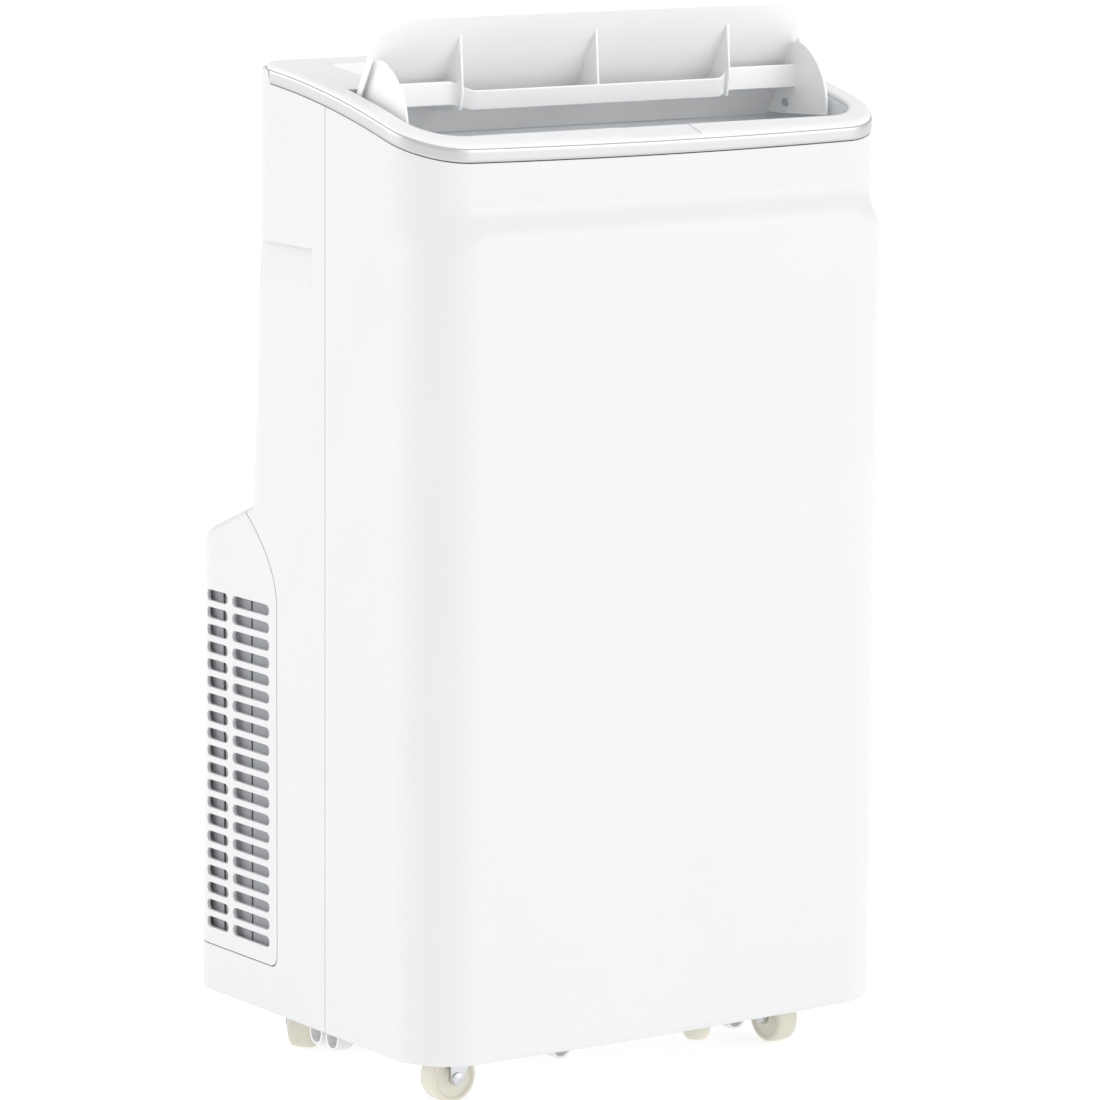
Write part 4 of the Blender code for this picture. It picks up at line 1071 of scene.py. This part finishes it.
class AIRCON_OT_casters(bpy.types.Operator):
    """Makes the four casters: nylon wheel, plated fork and bolt"""

    bl_idname = "aircon.casters"
    bl_label = "Casters"

    def execute(self, context):
        sizes = context.scene.aircon_casters
        joints = {joint["name"]: joint for joint in FRAME["joints"]}
        half = [*WHEEL_HALF, (sizes.wheel_radius / MM, 6.0)]
        profile = half + [(r, -h) for r, h in reversed(half)] + half[:1]
        for label in CASTERS:
            roll, swivel = joints[f"{label}_roll"], joints[f"{label}_swivel"]
            axle, across = Vector(roll["pos_m"]), Vector(roll["axis"]).normalized()
            stem = Vector(swivel["pos_m"])
            place = along(axle, across)
            wheel = lathe(f"{label}_tyre", profile, place)
            finished(shaded(wheel, 40), f"{label}_wheel", "cream_nylon", f"{label}_wheel")

            forward = (Vector((axle.x, axle.y, 0)) - Vector((stem.x, stem.y, 0))).normalized()
            local = Matrix((
                (forward.x, -forward.y, 0, stem.x),
                (forward.y, forward.x, 0, stem.y),
                (0, 0, 1, 0),
                (0, 0, 0, 1),
            ))
            above = local @ Matrix.Translation((3.5 * MM, 0, 42.5 * MM))
            outline = stadium(29 * MM, 25.9 * MM, 12)
            legs = [prism(f"{label}_plate", outline, 2.1 * MM, above, 0.5 * MM)]
            for low in (-13, 11):
                leg = [(-7 * MM, LEG_TOP_Z)]
                leg += arc(sizes.trail, sizes.wheel_radius, LEG_END, 195, 150, 12)
                leg.append((sizes.trail + 6 * MM, LEG_TOP_Z))
                upright = local @ front_view(low * MM)
                legs.append(prism(f"{label}_leg", leg, 2 * MM, upright, 0.4 * MM))
            post = lathe(f"{label}_post", POST, Matrix.Translation((stem.x, stem.y, 0)), 40)
            fork = joined(legs + [post], f"{label}_bracket")
            finished(shaded(fork), f"{label}_caster", "zinc_steel", f"{label}_fork")
            pin = lathe(f"{label}_bolt", BOLT, place, 24)
            finished(shaded(pin), f"{label}_caster", "zinc_steel", f"{label}_axle")
        return {"FINISHED"}


class AIRCON_OT_fittings(bpy.types.Operator):
    """Turns the exhaust collar, drain caps and lead inlet"""

    bl_idname = "aircon.fittings"
    bl_label = "Rear fittings"

    def execute(self, context):
        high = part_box("exhaust_collar")[1]
        place = along((EXHAUST.x, high.y - 26 * MM, EXHAUST.z), (0, 1, 0))
        collar = lathe("exhaust_ring", COLLAR, place, 96)
        finished(shaded(collar), "cabinet", "inner_plastic", "exhaust_collar")
        for name, (made, slot, bore) in CAPS.items():
            low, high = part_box(name)
            spot = (low + high) / 2
            place = along((spot.x, high.y - 1.5 * MM, spot.z), (0, 1, 0))
            profile = (
                (bore, 1.1), (bore + 0.4, 1.5), (8, 1.5), (9, 1.1), (9.5, 0.7),
                (9.5, 0.4), (7, 0.4), (7, -8), (bore, -8), (bore, 1.1),
            )
            finished(shaded(lathe(made, profile, place)), "cabinet", slot, name)
        low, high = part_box("drain_plug")
        place = Matrix.Translation(((low.x + high.x) / 2, (low.y + high.y) / 2, 0))
        stopper = lathe("drain_stopper", STOPPER, place)
        finished(shaded(stopper), "cabinet", "cream_nylon", "drain_plug")
        return {"FINISHED"}


# ---------------------------------------------------------------- stage

# The name of each light, the way that it comes from and its share of the key strength
LIGHTS = (
    ("left_light", (-1.0, 0.8, 0.35), 1.0),
    ("right_light", (0.8, -1.0, 0.35), 1.0),
    ("top_light", (-0.2, -0.5, 1.0), 0.45),
)
LIGHT_SPREAD = math.radians(50)
CAMERA_ROUND = math.radians(34.921)
CAMERA_ABOVE = math.radians(9.445)
CAMERA_ROLL = math.radians(0.38)
CAMERA_TARGET = Vector((5.3, 1.6, 394.74)) * MM
CAMERA_DISTANCE = 4.4302


class AIRCON_OT_stage(bpy.types.Operator):
    """Sets the floor, the soft light and the camera"""

    bl_idname = "aircon.stage"
    bl_label = "Stage"

    def execute(self, context):
        settings = context.scene.aircon_stage
        clear_selection()
        bpy.ops.mesh.primitive_plane_add(size=60, location=(0, 0, 0))
        floor = named("floor")
        tree, shader, place = new_material("floor_paper")
        tone = node(tree, "ShaderNodeTexNoise", {"Vector": place, "Scale": 2.0})
        low = node(tree, "ShaderNodeMapRange", {"Value": tone.outputs["Fac"], "To Min": 0.85, "To Max": 0.9})
        tree.links.new(low.outputs[0], shader.inputs["Roughness"])
        shader.inputs["Base Color"].default_value = (*settings.floor, 1)
        shader.inputs["Emission Color"].default_value = (1, 1, 1, 1)
        shader.inputs["Emission Strength"].default_value = settings.glow
        shader.inputs["Specular IOR Level"].default_value = 0.1
        floor.data.materials.append(bpy.data.materials["floor_paper"])

        world = bpy.data.worlds.new("even_light")
        world.use_nodes = True
        background = world.node_tree.nodes["Background"]
        background.inputs["Color"].default_value = (1, 1, 1, 1)
        background.inputs["Strength"].default_value = settings.ambient
        context.scene.world = world
        for name, source, strength in LIGHTS:
            bpy.ops.object.light_add(type="SUN", location=(0, 0, 3))
            lamp = bpy.context.object
            lamp.name = lamp.data.name = name
            lamp.data.energy = settings.key * strength
            lamp.data.angle = LIGHT_SPREAD
            lamp.rotation_euler = Vector(source).to_track_quat("Z", "Y").to_euler()

        forward = Vector((
            math.sin(CAMERA_ROUND) * math.cos(CAMERA_ABOVE),
            math.cos(CAMERA_ROUND) * math.cos(CAMERA_ABOVE),
            -math.sin(CAMERA_ABOVE),
        ))
        right = Vector((math.cos(CAMERA_ROUND), -math.sin(CAMERA_ROUND), 0))
        up = right.cross(forward)
        across = right * math.cos(CAMERA_ROLL) + up * math.sin(CAMERA_ROLL)
        over = up * math.cos(CAMERA_ROLL) - right * math.sin(CAMERA_ROLL)
        data = bpy.data.cameras.new("camera")
        data.lens = settings.lens
        data.sensor_width = 36
        camera = bpy.data.objects.new("camera", data)
        context.scene.collection.objects.link(camera)
        target = CAMERA_TARGET + across * 1.6 * MM
        spot = target - forward * CAMERA_DISTANCE
        camera.matrix_world = Matrix((
            (across.x, over.x, -forward.x, spot.x),
            (across.y, over.y, -forward.y, spot.y),
            (across.z, over.z, -forward.z, spot.z),
            (0, 0, 0, 1),
        ))
        context.scene.camera = camera
        context.scene.view_settings.view_transform = "Standard"
        return {"FINISHED"}


OPERATORS = (
    AIRCON_OT_finishes,
    AIRCON_OT_front_shell,
    AIRCON_OT_rear_shell,
    AIRCON_OT_top,
    AIRCON_OT_controls,
    AIRCON_OT_flap,
    AIRCON_OT_casters,
    AIRCON_OT_fittings,
    AIRCON_OT_stage,
)
GROUPS = {
    "aircon_cabinet": CabinetSizes,
    "aircon_outlet": OutletSizes,
    "aircon_grille": GrilleSizes,
    "aircon_casters": CasterSizes,
    "aircon_finishes": Finishes,
    "aircon_stage": StageSettings,
}


class VIEW3D_PT_aircon(bpy.types.Panel):
    """Lists the pieces and their sizes"""

    bl_label = "Air conditioner"
    bl_space_type = "VIEW_3D"
    bl_region_type = "UI"
    bl_category = "Air conditioner"

    def draw(self, context):
        for operator in OPERATORS:
            self.layout.operator(operator.bl_idname)
        for name, group in GROUPS.items():
            box = self.layout.box()
            box.label(text=group.__doc__)
            for key in group.__annotations__:
                box.prop(getattr(context.scene, name), key)


def register():
    for made in (*GROUPS.values(), *OPERATORS, VIEW3D_PT_aircon):
        bpy.utils.register_class(made)
    for name, group in GROUPS.items():
        setattr(bpy.types.Scene, name, PointerProperty(type=group))


def unregister():
    for name in GROUPS:
        delattr(bpy.types.Scene, name)
    for made in (VIEW3D_PT_aircon, *reversed(OPERATORS), *reversed(GROUPS.values())):
        bpy.utils.unregister_class(made)


def main():
    register()
    for operator in OPERATORS:
        group, name = operator.bl_idname.split(".")
        getattr(getattr(bpy.ops, group), name)()
    clear_selection()


if __name__ == "__main__":
    main()
